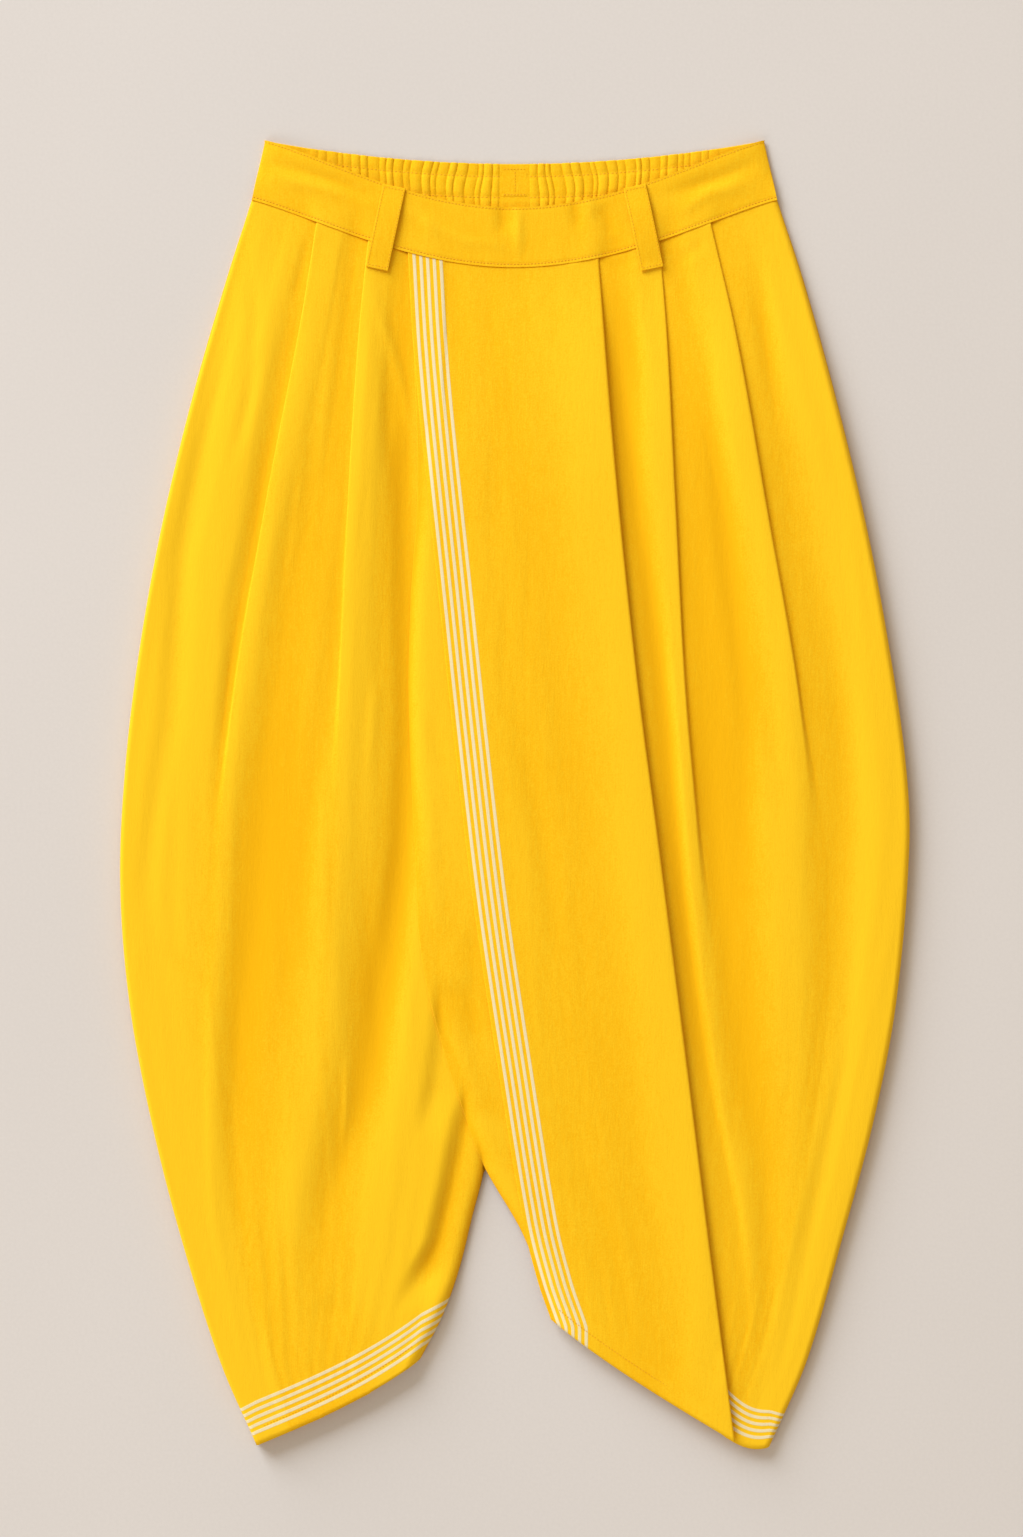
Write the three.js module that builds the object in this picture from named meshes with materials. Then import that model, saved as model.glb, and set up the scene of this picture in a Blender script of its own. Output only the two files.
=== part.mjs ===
// Stitched dhoti trousers in yellow cotton twill, laid flat with the front upwards.
//
// Millimetres. X runs across the garment, Y from the hems to the waist, Z up from the surface it lies on.
// The origin is under the middle of the garment, on that surface. "Right" and "left" are the wearer's, so
// the right leg is on the -X side. The two backs lie flat on the surface, each front lies on its back with
// knife pleats sewn into the waistband, the left front laps over the right one, and a bordered wrap panel
// lies over the left front. The front band is plain, the back band is gathered by its elastic.

import * as THREE from "three";

const { clamp, lerp, smoothstep } = THREE.MathUtils;

// Cloth
const CLOTH = 1.0; // wall of one layer
const SEAM_GAP = 0.3; // between pieces where they are sewn
const BAND_GAP = 0.45; // between the front band and the curved edges sewn to it
const LAYER = CLOTH + SEAM_GAP; // from one layer's middle to the next inside a pressed fold
const LAP = 2.5; // from one panel's middle to that of the panel lying on it
const LYING = CLOTH + SEAM_GAP + CLOTH / 2; // middle of a cloth that lies on a back panel

// Waist
const WAIST_HALF = 191.7; // half of the band's upper edge
const SEAM_HALF = 202; // half of the band's lower edge
const WAIST_Y = 502; // side corners of the band's upper edge
const SEAM_Y = 455.8; // side corners of the band's lower edge
const FRONT_DIP = 51.8; // how far the front band sinks in its middle
const BACK_DIP = 18; // how far the back band sinks in its middle
const BAND_WIDTH = WAIST_Y - SEAM_Y;
const BAND_THICK = 2.6; // folded cloth and its interfacing
const BAND_BOTTOM = 4.6; // underside of the front band over the gathers
const LEG_AT_SEAM = 3.6; // middle of a front where it enters the band

// Heights down the garment at which the folds are measured
const LEVELS = { waist: 440, hip: 356, seat: 226, thigh: 72, knee: -82, calf: -221, shin: -352, hem: -480 };

// A smooth line through the rows of a table, as x for a given y. The rows run from the waist down.
function lineThrough(rows) {
  const slope = rows.map((_, i) => {
    const before = rows[Math.max(0, i - 1)];
    const after = rows[Math.min(rows.length - 1, i + 1)];
    return (after.x - before.x) / (after.y - before.y);
  });
  return (y) => {
    let i = 0;
    while (i < rows.length - 2 && y < rows[i + 1].y) i++;
    const a = rows[i];
    const b = rows[i + 1];
    const span = b.y - a.y;
    const t = clamp((y - a.y) / span, -0.2, 1.2);
    const bend = (2 * t - 3) * t * t;
    return (
      a.x * (1 + bend) - b.x * bend +
      span * (slope[i] * t * (1 - t) * (1 - t) - slope[i + 1] * t * t * (1 - t))
    );
  };
}

// Side seams of the two legs, as distances from the middle of the garment
const rightSide = lineThrough([
  { y: 455.8, x: 202 },
  { y: 395, x: 221 },
  { y: 303, x: 247.5 },
  { y: 210, x: 270 },
  { y: 118, x: 287 },
  { y: 25, x: 298.6 },
  { y: -67, x: 303 },
  { y: -160, x: 296 },
  { y: -252, x: 279 },
  { y: -344, x: 255.5 },
  { y: -437, x: 226 },
  { y: -500, x: 198.5 },
]);
const leftSide = lineThrough([
  { y: 455.8, x: 202 },
  { y: 395, x: 221.5 },
  { y: 303, x: 247 },
  { y: 210, x: 269.5 },
  { y: 118, x: 287 },
  { y: 25, x: 300.5 },
  { y: -40, x: 303.5 },
  { y: -160, x: 293.5 },
  { y: -252, x: 276 },
  { y: -344, x: 251.5 },
  { y: -437, x: 224.5 },
  { y: -502, x: 196 },
]);

// Right front: its inner edge is covered down to the crotch, and is the leg's own outline below it
const rightInner = lineThrough([
  { y: 410, x: -50 },
  { y: 200, x: -45 },
  { y: 0, x: -36 },
  { y: -150, x: -25 },
  { y: -240, x: -18 },
  { y: -289, x: -23.5 },
  { y: -325, x: -32.5 },
  { y: -367, x: -43 },
  { y: -403, x: -56 },
  { y: -434, x: -72 },
]);

// Left front: the edge that laps over the right front
const leftInner = lineThrough([
  { y: 410, x: -81.5 },
  { y: 330, x: -77 },
  { y: 228, x: -74.3 },
  { y: 154, x: -79.4 },
  { y: 70, x: -81.3 },
  { y: -67, x: -75.4 },
  { y: -117, x: -72.5 },
  { y: -174, x: -61 },
  { y: -239, x: -41 },
  { y: -286, x: -23.5 },
  { y: -334, x: 4.2 },
  { y: -366, x: 17.5 },
  { y: -398, x: 28 },
]);

// Wrap panel: the bordered selvedge on its inner side and the fold on its outer side
const wrapSelvedge = lineThrough([
  { y: 410, x: -81.7 },
  { y: 349, x: -78.2 },
  { y: 287, x: -72.8 },
  { y: 164, x: -59.7 },
  { y: 41, x: -46.6 },
  { y: -82, x: -32 },
  { y: -206, x: -13.5 },
  { y: -329, x: 6.5 },
  { y: -375, x: 18 },
  { y: -404, x: 28 },
]);
const wrapFold = lineThrough([
  { y: 415, x: 64 },
  { y: 253, x: 76.6 },
  { y: 91, x: 93.3 },
  { y: -42, x: 110.5 },
  { y: -210, x: 132 },
  { y: -353, x: 149.8 },
  { y: -497, x: 168.5 },
]);

// Hems, as the two ends and how far the edge bellies below the straight line between them. A skew over 1
// puts the belly nearer the outer end.
const HEMS = {
  right: { inner: { x: -72, y: -434 }, outer: { x: -198, y: -500.5 }, belly: 5.5, skew: 0.8 },
  left: { inner: { x: 28, y: -398 }, outer: { x: 196, y: -502 }, belly: 13.5, skew: 3.5 },
  wrap: { inner: { x: 28, y: -404 }, outer: { x: 168.5, y: -497 }, belly: 4, skew: 0.8 },
};

// Knife pleats: x of the fold's edge at each level, which way the edge faces, the depth folded under, and
// the height at which the pressed fold starts to open
const PLEATS = {
  rightOuter: {
    waist: -151.5, hip: -165, seat: -190, thigh: -214, knee: -222, calf: -212, shin: -190, hem: -160,
    faces: -1, depth: 14, opens: 220,
  },
  rightInner: {
    waist: -110.5, hip: -119, seat: -127.5, thigh: -136.5, knee: -143, calf: -146, shin: -140, hem: -128,
    faces: -1, depth: 14, opens: 240,
  },
  leftInner: {
    waist: 109.5, hip: 117.5, seat: 125, thigh: 136, knee: 151, calf: 162, shin: 158, hem: 128,
    faces: 1, depth: 14, opens: 80,
  },
  leftOuter: {
    waist: 150, hip: 171, seat: 195.5, thigh: 223.5, knee: 240, calf: 230, shin: 203, hem: 160,
    faces: 1, depth: 14, opens: 170,
  },
};
const OPENING = { parting: 130, easing: 150, between: 70 }; // lengths over which it parts and then flattens

// Soft folds: x of each crest or trough at each level, and its height over the cloth around it above
// and below the thigh
const RIGHT_FOLDS = [
  {
    fold: "side trough", upper: -0.8, lower: -0.6,
    waist: -194, hip: -225, seat: -254, thigh: -267, knee: -286, calf: -269, shin: -242, hem: -206,
  },
  {
    fold: "outer crest", upper: 2.4, lower: 2.0,
    waist: -173, hip: -190, seat: -212, thigh: -226, knee: -240, calf: -244, shin: -236, hem: -201,
  },
  {
    fold: "pleat trough", upper: -0.8, lower: 2.0,
    waist: -157, hip: -170, seat: -196, thigh: -220, knee: -232, calf: -238, shin: -232, hem: -198,
  },
  {
    fold: "pleat crest", upper: 2.0, lower: 2.2,
    waist: -146, hip: -157, seat: -183, thigh: -207, knee: -226, calf: -233, shin: -226, hem: -194,
  },
  {
    fold: "broad trough", upper: -0.6, lower: -1.8,
    waist: -134, hip: -141, seat: -170, thigh: -181, knee: -198, calf: -214, shin: -205, hem: -182,
  },
  {
    fold: "pleat hollow", upper: -0.8, lower: -0.4,
    waist: -115, hip: -123, seat: -133, thigh: -144, knee: -172, calf: -190, shin: -182, hem: -165,
  },
  {
    fold: "long crest", upper: 2.4, lower: 3.8,
    waist: -104, hip: -111, seat: -118, thigh: -129, knee: -134, calf: -158, shin: -161, hem: -142,
  },
  {
    fold: "deep trough", upper: 0.2, lower: -3.4,
    waist: -94, hip: -94, seat: -89, thigh: -88, knee: -97, calf: -122, shin: -145, hem: -127,
  },
  {
    fold: "inner crest", upper: -1.0, lower: 1.2,
    waist: -87, hip: -86, seat: -85, thigh: -84, knee: -80, calf: -86, shin: -97, hem: -90,
  },
  {
    fold: "inner trough", upper: -2.0, lower: -1.8,
    waist: -78, hip: -77, seat: -79, thigh: -80, knee: -72, calf: -66, shin: -66, hem: -82,
  },
  {
    fold: "edge crest", upper: -1.0, lower: 1.2,
    waist: -55, hip: -52, seat: -50, thigh: -48, knee: -54, calf: -50, shin: -47, hem: -68,
  },
];
const LEFT_FOLDS = [
  {
    fold: "covered crest", upper: 1.0, lower: 1.0,
    waist: -40, hip: -36, seat: -30, thigh: -20, knee: -5, calf: 20, shin: 50, hem: 80,
  },
  {
    fold: "covered flat", upper: 1.5, lower: 1.4,
    waist: 50, hip: 56, seat: 70, thigh: 90, knee: 105, calf: 123, shin: 138, hem: 150,
  },
  {
    fold: "wrap trough", upper: -3.0, lower: -3.2,
    waist: 70, hip: 78, seat: 96, thigh: 116, knee: 130, calf: 149, shin: 174, hem: 178,
  },
  {
    fold: "narrow crest", upper: 2.2, lower: 2.0,
    waist: 99, hip: 106, seat: 117, thigh: 130, knee: 143, calf: 157, shin: 182, hem: 182,
  },
  {
    fold: "second trough", upper: -2.6, lower: -3.2,
    waist: 118, hip: 128, seat: 138, thigh: 155, knee: 167, calf: 184, shin: 197, hem: 187,
  },
  {
    fold: "broad crest", upper: 2.8, lower: 2.6,
    waist: 144, hip: 166, seat: 190, thigh: 214, knee: 226, calf: 216, shin: 210, hem: 192,
  },
  {
    fold: "third trough", upper: -2.4, lower: -2.8,
    waist: 160, hip: 190, seat: 222, thigh: 246, knee: 255, calf: 239, shin: 219, hem: 197,
  },
  {
    fold: "outer crest", upper: 1.8, lower: 2.0,
    waist: 176, hip: 212, seat: 254, thigh: 281, knee: 282, calf: 260, shin: 232, hem: 202,
  },
];

const levelNames = Object.keys(LEVELS);
const alongLevels = (row) => lineThrough(levelNames.map((name) => ({ y: LEVELS[name], x: row[name] })));
const foldLines = (rows) =>
  rows.map(({ upper, lower, ...row }) => ({
    at: alongLevels(row),
    high: (y) => lerp(upper, lower, smoothstep(LEVELS.thigh - y, 0, LEVELS.thigh - LEVELS.knee)),
  }));
const rightFolds = foldLines(RIGHT_FOLDS);
const leftFolds = foldLines(LEFT_FOLDS);

// Quarter-round rise of the cloth from an edge, 0 on it and 1 from `width` inwards
function roll(distance, width) {
  const left = 1 - clamp(distance / width, 0, 1);
  return Math.sqrt(1 - left * left);
}

// Lower edge of the front band, upper edges of both bands, and the back band's lower edge
const dipShape = (x, half) => Math.cos((Math.PI / 2) * clamp(x / half, -1, 1)) ** 1.15;
const seamY = (x) => SEAM_Y - FRONT_DIP * dipShape(x, SEAM_HALF);
const frontTopY = (x) => WAIST_Y - FRONT_DIP * dipShape(x, WAIST_HALF);
const backTopY = (x) => WAIST_Y - BACK_DIP * (1 - (x / WAIST_HALF) ** 2);

function hemPoint(hem, share) {
  const belly = hem.belly * Math.sin(Math.PI * share ** hem.skew);
  return {
    x: lerp(hem.inner.x, hem.outer.x, share),
    y: lerp(hem.inner.y, hem.outer.y, share) - belly,
  };
}
const hemY = (hem, x) => hemPoint(hem, clamp((x - hem.inner.x) / (hem.outer.x - hem.inner.x), 0, 1)).y;

// Height of the folds at a point, swinging smoothly from each line to the next
function foldHeight(lines, x, y) {
  let i = 0;
  while (i < lines.length - 1 && x > lines[i + 1].at(y)) i++;
  const a = lines[i];
  const b = lines[Math.min(i + 1, lines.length - 1)];
  if (x <= a.at(y) || a === b) return a.high(y);
  return lerp(a.high(y), b.high(y), smoothstep(x, a.at(y), b.at(y)));
}

const PUFF = 9; // how far the loose cloth of a leg stands over its back
function puffed(lines, x, y, edges, hem) {
  const fromSeam = seamY(x) - y;
  const fromHem = y - hemY(hem, x);
  const body = lerp(LEG_AT_SEAM - LYING, PUFF, smoothstep(fromSeam, -10, 190));
  const fall = lerp(0.55, 1, smoothstep(fromHem, 0, 260));
  const swing = smoothstep(fromSeam, 0, 120) * lerp(0.15, 1, smoothstep(fromHem, 0, 150));
  const folds = foldHeight(lines, x, y) * swing;
  return LYING + (body * fall + folds) * edges;
}

// Middle surfaces of the three front panels
function rightHeight(x, y) {
  const edges = roll(x + rightSide(y), 16) * roll(rightInner(y) - x, 22);
  return puffed(rightFolds, x, y, edges, HEMS.right);
}
function leftHeight(x, y) {
  const fromInner = x - leftInner(y);
  const alone = puffed(leftFolds, x, y, roll(leftSide(y) - x, 16) * roll(fromInner + 3, 24), HEMS.left);
  const covers = smoothstep(rightInner(y) - x, -6, 4) * smoothstep(y, -330, -285);
  const onRight = rightHeight(Math.min(x, rightInner(y)), y) + LAP;
  return lerp(alone, Math.max(alone, onRight), covers);
}
function wrapHeight(x, y) {
  const inside = Math.max(x, leftInner(y) + 1);
  const swell = 1.4 * roll(x - wrapSelvedge(y), 45) * smoothstep(seamY(x) - y, 0, 90);
  return leftHeight(inside, Math.max(y, hemY(HEMS.left, inside))) + LAP + swell;
}

// The closed wall around a grid of middle points, given as rows of equal length
function clothWall(rows, thickness) {
  const wide = rows[0].length;
  const tall = rows.length;
  const along = new THREE.Vector3();
  const down = new THREE.Vector3();
  const outer = [];
  const inner = [];
  rows.forEach((row, r) =>
    row.forEach((point, c) => {
      along.subVectors(row[Math.min(c + 1, wide - 1)], row[Math.max(c - 1, 0)]);
      down.subVectors(rows[Math.max(r - 1, 0)][c], rows[Math.min(r + 1, tall - 1)][c]);
      const out = new THREE.Vector3().crossVectors(along, down).normalize();
      outer.push(point.clone().addScaledVector(out, thickness / 2));
      inner.push(point.clone().addScaledVector(out, -thickness / 2));
    }),
  );
  const under = wide * tall;
  const triangles = [];
  const quad = (a, b, c, d) => triangles.push(a, b, c, a, c, d);
  for (let r = 0; r < tall - 1; r++)
    for (let c = 0; c < wide - 1; c++) {
      const a = r * wide + c;
      quad(a, a + wide, a + wide + 1, a + 1);
      quad(under + a, under + a + 1, under + a + wide + 1, under + a + wide);
    }
  for (let c = 0; c < wide - 1; c++) {
    const last = (tall - 1) * wide + c;
    quad(c + 1, under + c + 1, under + c, c);
    quad(last, under + last, under + last + 1, last + 1);
  }
  for (let r = 0; r < tall - 1; r++) {
    const a = r * wide;
    const b = a + wide - 1;
    quad(a, under + a, under + a + wide, a + wide);
    quad(b + wide, under + b + wide, under + b, b);
  }
  const geometry = new THREE.BufferGeometry().setFromPoints([...outer, ...inner]);
  geometry.setIndex(triangles);
  geometry.computeVertexNormals();
  return geometry;
}

// Section of a knife pleat, from the top layer to the lower one. Each point has its place across the fold,
// positive the way the edge faces, in three states: pressed (in pleat depths, plus millimetres), standing as
// a step once the fold has parted, and flat. Its layer is 0 to 2 when pressed and standing.
const PLEAT_SECTION = [
  { depths: -1, beyond: -12, layer: 0, standing: -10, stands: 0, flat: -9 },
  { depths: -1, beyond: -4, layer: 1.9, standing: -5.5, stands: 1.7, flat: -7 },
  { depths: -0.5, beyond: 0, layer: 2, standing: -2.6, stands: 2, flat: -5 },
  { depths: 0, beyond: -0.8, layer: 2, standing: -0.7, stands: 2, flat: -3 },
  { depths: 0, beyond: 0, layer: 1.5, standing: 0, stands: 1.6, flat: -1.2 },
  { depths: 0, beyond: -0.8, layer: 1, standing: 0, stands: 1.2, flat: 0 },
  { depths: -1, beyond: 0.8, layer: 1, standing: 0.1, stands: 0.8, flat: 1.2 },
  { depths: -1, beyond: 0, layer: 0.5, standing: 0.2, stands: 0.4, flat: 2.6 },
  { depths: -1, beyond: 0.8, layer: 0, standing: 1, stands: 0, flat: 4 },
  { depths: 0, beyond: 1.2, layer: 0, standing: 3, stands: 0, flat: 6 },
  { depths: 0, beyond: 5, layer: 0, standing: 8, stands: 0, flat: 8 },
];
const FOLD_LOFT = 1.75; // how much further apart a pleat's layers stand once clear of the band

function pleatPoints(pleat, edge, rowSlope, height) {
  const below = pleat.opens - edge.y;
  const apart = smoothstep(below, 0, OPENING.parting);
  const eased = smoothstep(below - OPENING.parting - OPENING.between, 0, OPENING.easing);
  const fromSeam = seamY(edge.x) - edge.y;
  const pitch = LAYER * lerp(1, FOLD_LOFT, smoothstep(fromSeam, 0, 90)) * (1 - eased);
  const across = PLEAT_SECTION.map((p) => {
    const pressed = p.depths * pleat.depth + p.beyond;
    return lerp(lerp(pressed, p.standing, apart), p.flat, eased);
  });
  const place = (reach) => {
    const x = edge.x + pleat.faces * reach;
    return [x, edge.y + rowSlope * (x - edge.x)];
  };
  const ends = [across[0], across[across.length - 1]];
  const [topHeight, edgeHeight, lowHeight] = [ends[0], 0, ends[1]].map((reach) => height(...place(reach)));
  const points = PLEAT_SECTION.map((p, i) => {
    const reach = across[i];
    const base =
      reach < 0 ? lerp(edgeHeight, topHeight, reach / ends[0]) : lerp(edgeHeight, lowHeight, reach / ends[1]);
    return new THREE.Vector3(...place(reach), base + lerp(p.layer, p.stands, apart) * pitch);
  });
  return pleat.faces > 0 ? points : points.reverse();
}

// Where a panel's row crosses a line that runs down the garment, as a share of the row
function crossing(rowPoint, lineX) {
  let low = 0;
  let high = 1;
  for (let i = 0; i < 30; i++) {
    const middle = (low + high) / 2;
    const p = rowPoint(middle);
    if (p.x < lineX(p.y)) low = middle;
    else high = middle;
  }
  return (low + high) / 2;
}

// Point of a panel spread between its four edges: share `u` from -X to +X, `v` from the seam to the hem
function spread(panel, u, v) {
  const ends = [panel.left, panel.right].map((edge) => {
    const y = lerp(edge.top - BAND_GAP, edge.bottom, v);
    return { x: edge.at(y), y };
  });
  const top = (share) => {
    const x = lerp(panel.left.at(panel.left.top), panel.right.at(panel.right.top), share);
    return { x, y: seamY(x) };
  };
  const hem = (share) => hemPoint(panel.hem, panel.mirrored ? 1 - share : share);
  const over = (edge, key) => edge(u)[key] - lerp(edge(0)[key], edge(1)[key], u);
  const point = { x: 0, y: 0 };
  for (const key of ["x", "y"])
    point[key] = lerp(ends[0][key], ends[1][key], u) + over(top, key) * (1 - v) + over(hem, key) * v;
  return point;
}

// Shares of a front's length at which it has a row of points, closer together near the band and the hem
const ROWS_DOWN = [
  0, 0.014, 0.04, 0.08, 0.13, 0.19, 0.26, 0.33, 0.4, 0.47, 0.54,
  0.61, 0.68, 0.75, 0.82, 0.88, 0.93, 0.965, 0.985, 1,
];

// Rows of middle points of a front: rolled edges, its pleats in full section, and plain cloth between them
function frontRows(panel, height) {
  return ROWS_DOWN.map((v) => {
    const at = (u) => spread(panel, u, v);
    const wide = at(1).x - at(0).x;
    const vector = (u) => {
      const p = at(u);
      return new THREE.Vector3(p.x, p.y, height(p.x, p.y));
    };
    const row = [];
    let done = 0;
    const plainTo = (end, steps) => {
      for (let i = 1; i <= steps; i++) row.push(vector(lerp(done, end, i / (steps + 1))));
    };
    for (const inset of panel.leftInsets) {
      done = inset / wide;
      row.push(vector(done));
    }
    panel.pleats.forEach((pleat, i) => {
      const u = crossing(at, pleat.at);
      const before = at(u - 0.03);
      const after = at(u + 0.03);
      const folded = pleatPoints(pleat, at(u), (after.y - before.y) / (after.x - before.x), height);
      plainTo((folded[0].x - at(0).x) / wide, panel.plainSteps[i]);
      row.push(...folded);
      done = (folded[folded.length - 1].x - at(0).x) / wide;
    });
    const insets = [...panel.rightInsets].reverse();
    plainTo(1 - insets[0] / wide, panel.plainSteps[panel.pleats.length]);
    for (const inset of insets) row.push(vector(1 - inset / wide));
    return row;
  });
}

const namedPleat = (key) => ({ ...PLEATS[key], at: alongLevels(PLEATS[key]) });
const RIGHT_FRONT = {
  left: { at: (y) => -rightSide(y), top: SEAM_Y, bottom: HEMS.right.outer.y },
  right: { at: rightInner, top: seamY(-50), bottom: HEMS.right.inner.y },
  hem: HEMS.right,
  mirrored: true,
  pleats: [namedPleat("rightOuter"), namedPleat("rightInner")],
  plainSteps: [4, 4, 11],
  leftInsets: [0, 2, 7, 16],
  rightInsets: [0, 3, 11],
};
const LEFT_FRONT = {
  left: { at: leftInner, top: seamY(-81.5), bottom: HEMS.left.inner.y },
  right: { at: leftSide, top: SEAM_Y, bottom: HEMS.left.outer.y },
  hem: HEMS.left,
  pleats: [namedPleat("leftInner"), namedPleat("leftOuter")],
  plainSteps: [8, 4, 4],
  leftInsets: [0, 3, 10, 19, 28, 38, 49, 61],
  rightInsets: [0, 2, 7, 16],
};

// Wrap panel: the cloth runs from the selvedge to the fold and turns back under itself
const TURN_BACK = 24; // depth of the cloth turned under at the fold
function wrapRows() {
  const panel = {
    left: { at: wrapSelvedge, top: seamY(-81.7), bottom: HEMS.wrap.inner.y },
    right: { at: wrapFold, top: seamY(64), bottom: HEMS.wrap.outer.y },
    hem: HEMS.wrap,
  };
  return ROWS_DOWN.map((v) => {
    const at = (u) => spread(panel, u, v);
    const wide = at(1).x - at(0).x;
    const fold = at(1);
    const fromSeam = seamY(fold.x) - fold.y;
    const pitch = LAYER * lerp(1, FOLD_LOFT, smoothstep(fromSeam, 0, 90));
    const point = (inset, layer) => {
      const p = at(1 - inset / wide);
      return new THREE.Vector3(p.x, p.y, wrapHeight(p.x, p.y) + layer * pitch);
    };
    const row = [0, 3, 9].map((inset) => point(wide - inset, 0));
    const plain = 8;
    for (let i = 1; i <= plain; i++) row.push(point(lerp(wide - 9, TURN_BACK + 18, i / plain), 0));
    row.push(point(TURN_BACK + 4, 0.7), point(TURN_BACK / 2, 1), point(0.8, 1), point(0, 0.5));
    row.push(point(0.8, 0), point(TURN_BACK / 2, 0), point(TURN_BACK, 0));
    return row;
  });
}

// Back panels: flat cloth on the surface, meeting at the centre back seam
const BACK_PEEP = 1.6; // how far the left back shows beyond its front below the hip
function backPanel(points) {
  const shape = new THREE.Shape(points.map((p) => new THREE.Vector2(p.x, p.y)));
  return new THREE.ExtrudeGeometry(shape, { depth: CLOTH, bevelEnabled: false });
}
const backBottomY = (x) => backTopY((x * WAIST_HALF) / SEAM_HALF) - BAND_WIDTH;
const CROTCH = { x: -20, y: -287 };
const centreBack = (y) => (CROTCH.x * (438 - y)) / (438 - CROTCH.y);

function steps(from, to, count, make) {
  return Array.from({ length: count + 1 }, (_, i) => make(lerp(from, to, i / count)));
}
function rightBackOutline() {
  const seam = SEAM_GAP / 2;
  return [
    ...steps(-SEAM_HALF, -seam, 8, (x) => ({ x, y: backBottomY(x) - SEAM_GAP })),
    ...steps(430, CROTCH.y, 3, (y) => ({ x: centreBack(y) - seam, y })),
    ...steps(-300, -425, 6, (y) => ({ x: rightInner(y) - 0.5, y })),
    ...steps(0, 1, 6, (share) => {
      const p = hemPoint(HEMS.right, share);
      return { x: p.x - 0.4, y: p.y + 0.6 };
    }),
    ...steps(-480, 440, 18, (y) => ({ x: -rightSide(y), y })),
  ];
}
function leftBackOutline() {
  const seam = SEAM_GAP / 2;
  const peep = (y) => BACK_PEEP * smoothstep(y, 290, 330) * (1 - smoothstep(y, 415, 438));
  return [
    ...steps(seam, SEAM_HALF, 8, (x) => ({ x, y: backBottomY(x) - SEAM_GAP })),
    ...steps(440, -480, 24, (y) => ({ x: leftSide(y) + peep(y), y })),
    ...steps(1, 0, 6, (share) => {
      const p = hemPoint(HEMS.left, share);
      return { x: p.x, y: p.y + 0.6 };
    }),
    ...steps(-390, -305, 4, (y) => ({ x: leftInner(y) + 2, y })),
    ...steps(CROTCH.y, 430, 3, (y) => ({ x: centreBack(y) + seam, y })),
  ].reverse();
}

// Front band: one folded strip across the fronts
function frontBandRows() {
  const half = (share) => lerp(WAIST_HALF, SEAM_HALF, share);
  const across = steps(-1, 1, 32, (t) => Math.sin((Math.PI / 2) * t));
  return [0, 0.08, 0.5, 0.92, 1].map((share) =>
    across.map((t) => {
      const x = t * half(share);
      const y = lerp(frontTopY(t * WAIST_HALF), seamY(t * SEAM_HALF), share);
      const low = LAYER + BAND_THICK / 2;
      const high = BAND_BOTTOM + BAND_THICK / 2;
      return new THREE.Vector3(x, y, lerp(low, high, roll(half(share) - Math.abs(x), 40)));
    }),
  );
}

// Back band: the cloth stands in gathers between rows of stitching, flat at the sides and under the tab
const GATHERS = 22; // on each side of the tab
const GATHER_HIGH = 2.3;
const TAB = { wide: 19, tall: 22.5, top: 481.6, thick: 0.8 };
const BAND_STITCHES = [
  { down: 0, pinch: 0.6 },
  { down: 5, pinch: 0.95 },
  { down: 9.4, pinch: 0.5 },
  { down: 17.5, pinch: 1 },
  { down: 25.6, pinch: 0.5 },
  { down: 35, pinch: 0.9 },
  { down: BAND_WIDTH, pinch: 0.6 },
];
const GATHER_SECTION = [
  { across: 0, high: 0 },
  { across: 0.3, high: 0.9 },
  { across: 0.68, high: 1 },
];

function gatherColumns() {
  const inner = TAB.wide / 2 + 1.5;
  const outer = WAIST_HALF - 34;
  const width = (i) => 1 + 0.3 * Math.sin(2.4 * i) + 0.16 * Math.sin(5.1 * i);
  const widths = Array.from({ length: GATHERS }, (_, i) => width(i));
  const total = widths.reduce((sum, w) => sum + w, 0);
  const columns = [];
  let x = inner;
  widths.forEach((w, i) => {
    const span = (w / total) * (outer - inner);
    const tall = (0.8 + 0.2 * Math.sin(1.7 * i)) * (1 - 0.45 * smoothstep(x, 110, outer));
    for (const part of GATHER_SECTION) columns.push({ x: x + part.across * span, high: tall * part.high });
    x += span;
  });
  columns.push({ x: outer, high: 0 }, { x: WAIST_HALF - 14, high: 0.08 }, { x: WAIST_HALF, high: 0 });
  const mirrored = columns.map((c) => ({ x: -c.x, high: c.high })).reverse();
  return [...mirrored, ...columns];
}
function backBandRows() {
  const columns = gatherColumns();
  return BAND_STITCHES.map(({ down, pinch }) =>
    columns.map(({ x, high }) => {
      const spreadX = x * lerp(1, SEAM_HALF / WAIST_HALF, down / BAND_WIDTH);
      const z = CLOTH / 2 + GATHER_HIGH * high * pinch;
      return new THREE.Vector3(spreadX, backTopY(x) - down, z);
    }),
  );
}
function tabRows() {
  const z = CLOTH + SEAM_GAP + TAB.thick / 2;
  return [0, 1].map((down) =>
    [-0.5, 0.5].map((across) => new THREE.Vector3(across * TAB.wide, TAB.top - down * TAB.tall, z)),
  );
}

// Belt loops: folded straps sewn flat at both ends and standing clear of the band between them
const LOOP = { wide: 17.5, long: 65, thick: 1.6, tilt: 12, x: 99, y: 434.3 };
const LOOP_PROFILE = [
  { along: 0, z: 8.4 },
  { along: 0.07, z: 8.4 },
  { along: 0.16, z: 10.6 },
  { along: 0.26, z: 13.2 },
  { along: 0.5, z: 13.5 },
  { along: 0.66, z: 13.2 },
  { along: 0.78, z: 11.2 },
  { along: 0.9, z: 9.6 },
  { along: 1, z: 9.6 },
];
function loopRows() {
  return LOOP_PROFILE.map(({ along, z }) =>
    [-0.5, 0, 0.5].map((across) => new THREE.Vector3(across * LOOP.wide, LOOP.long * (0.5 - along), z)),
  );
}

const dhoti = new THREE.Group();
dhoti.name = "dhoti_trousers";

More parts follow.
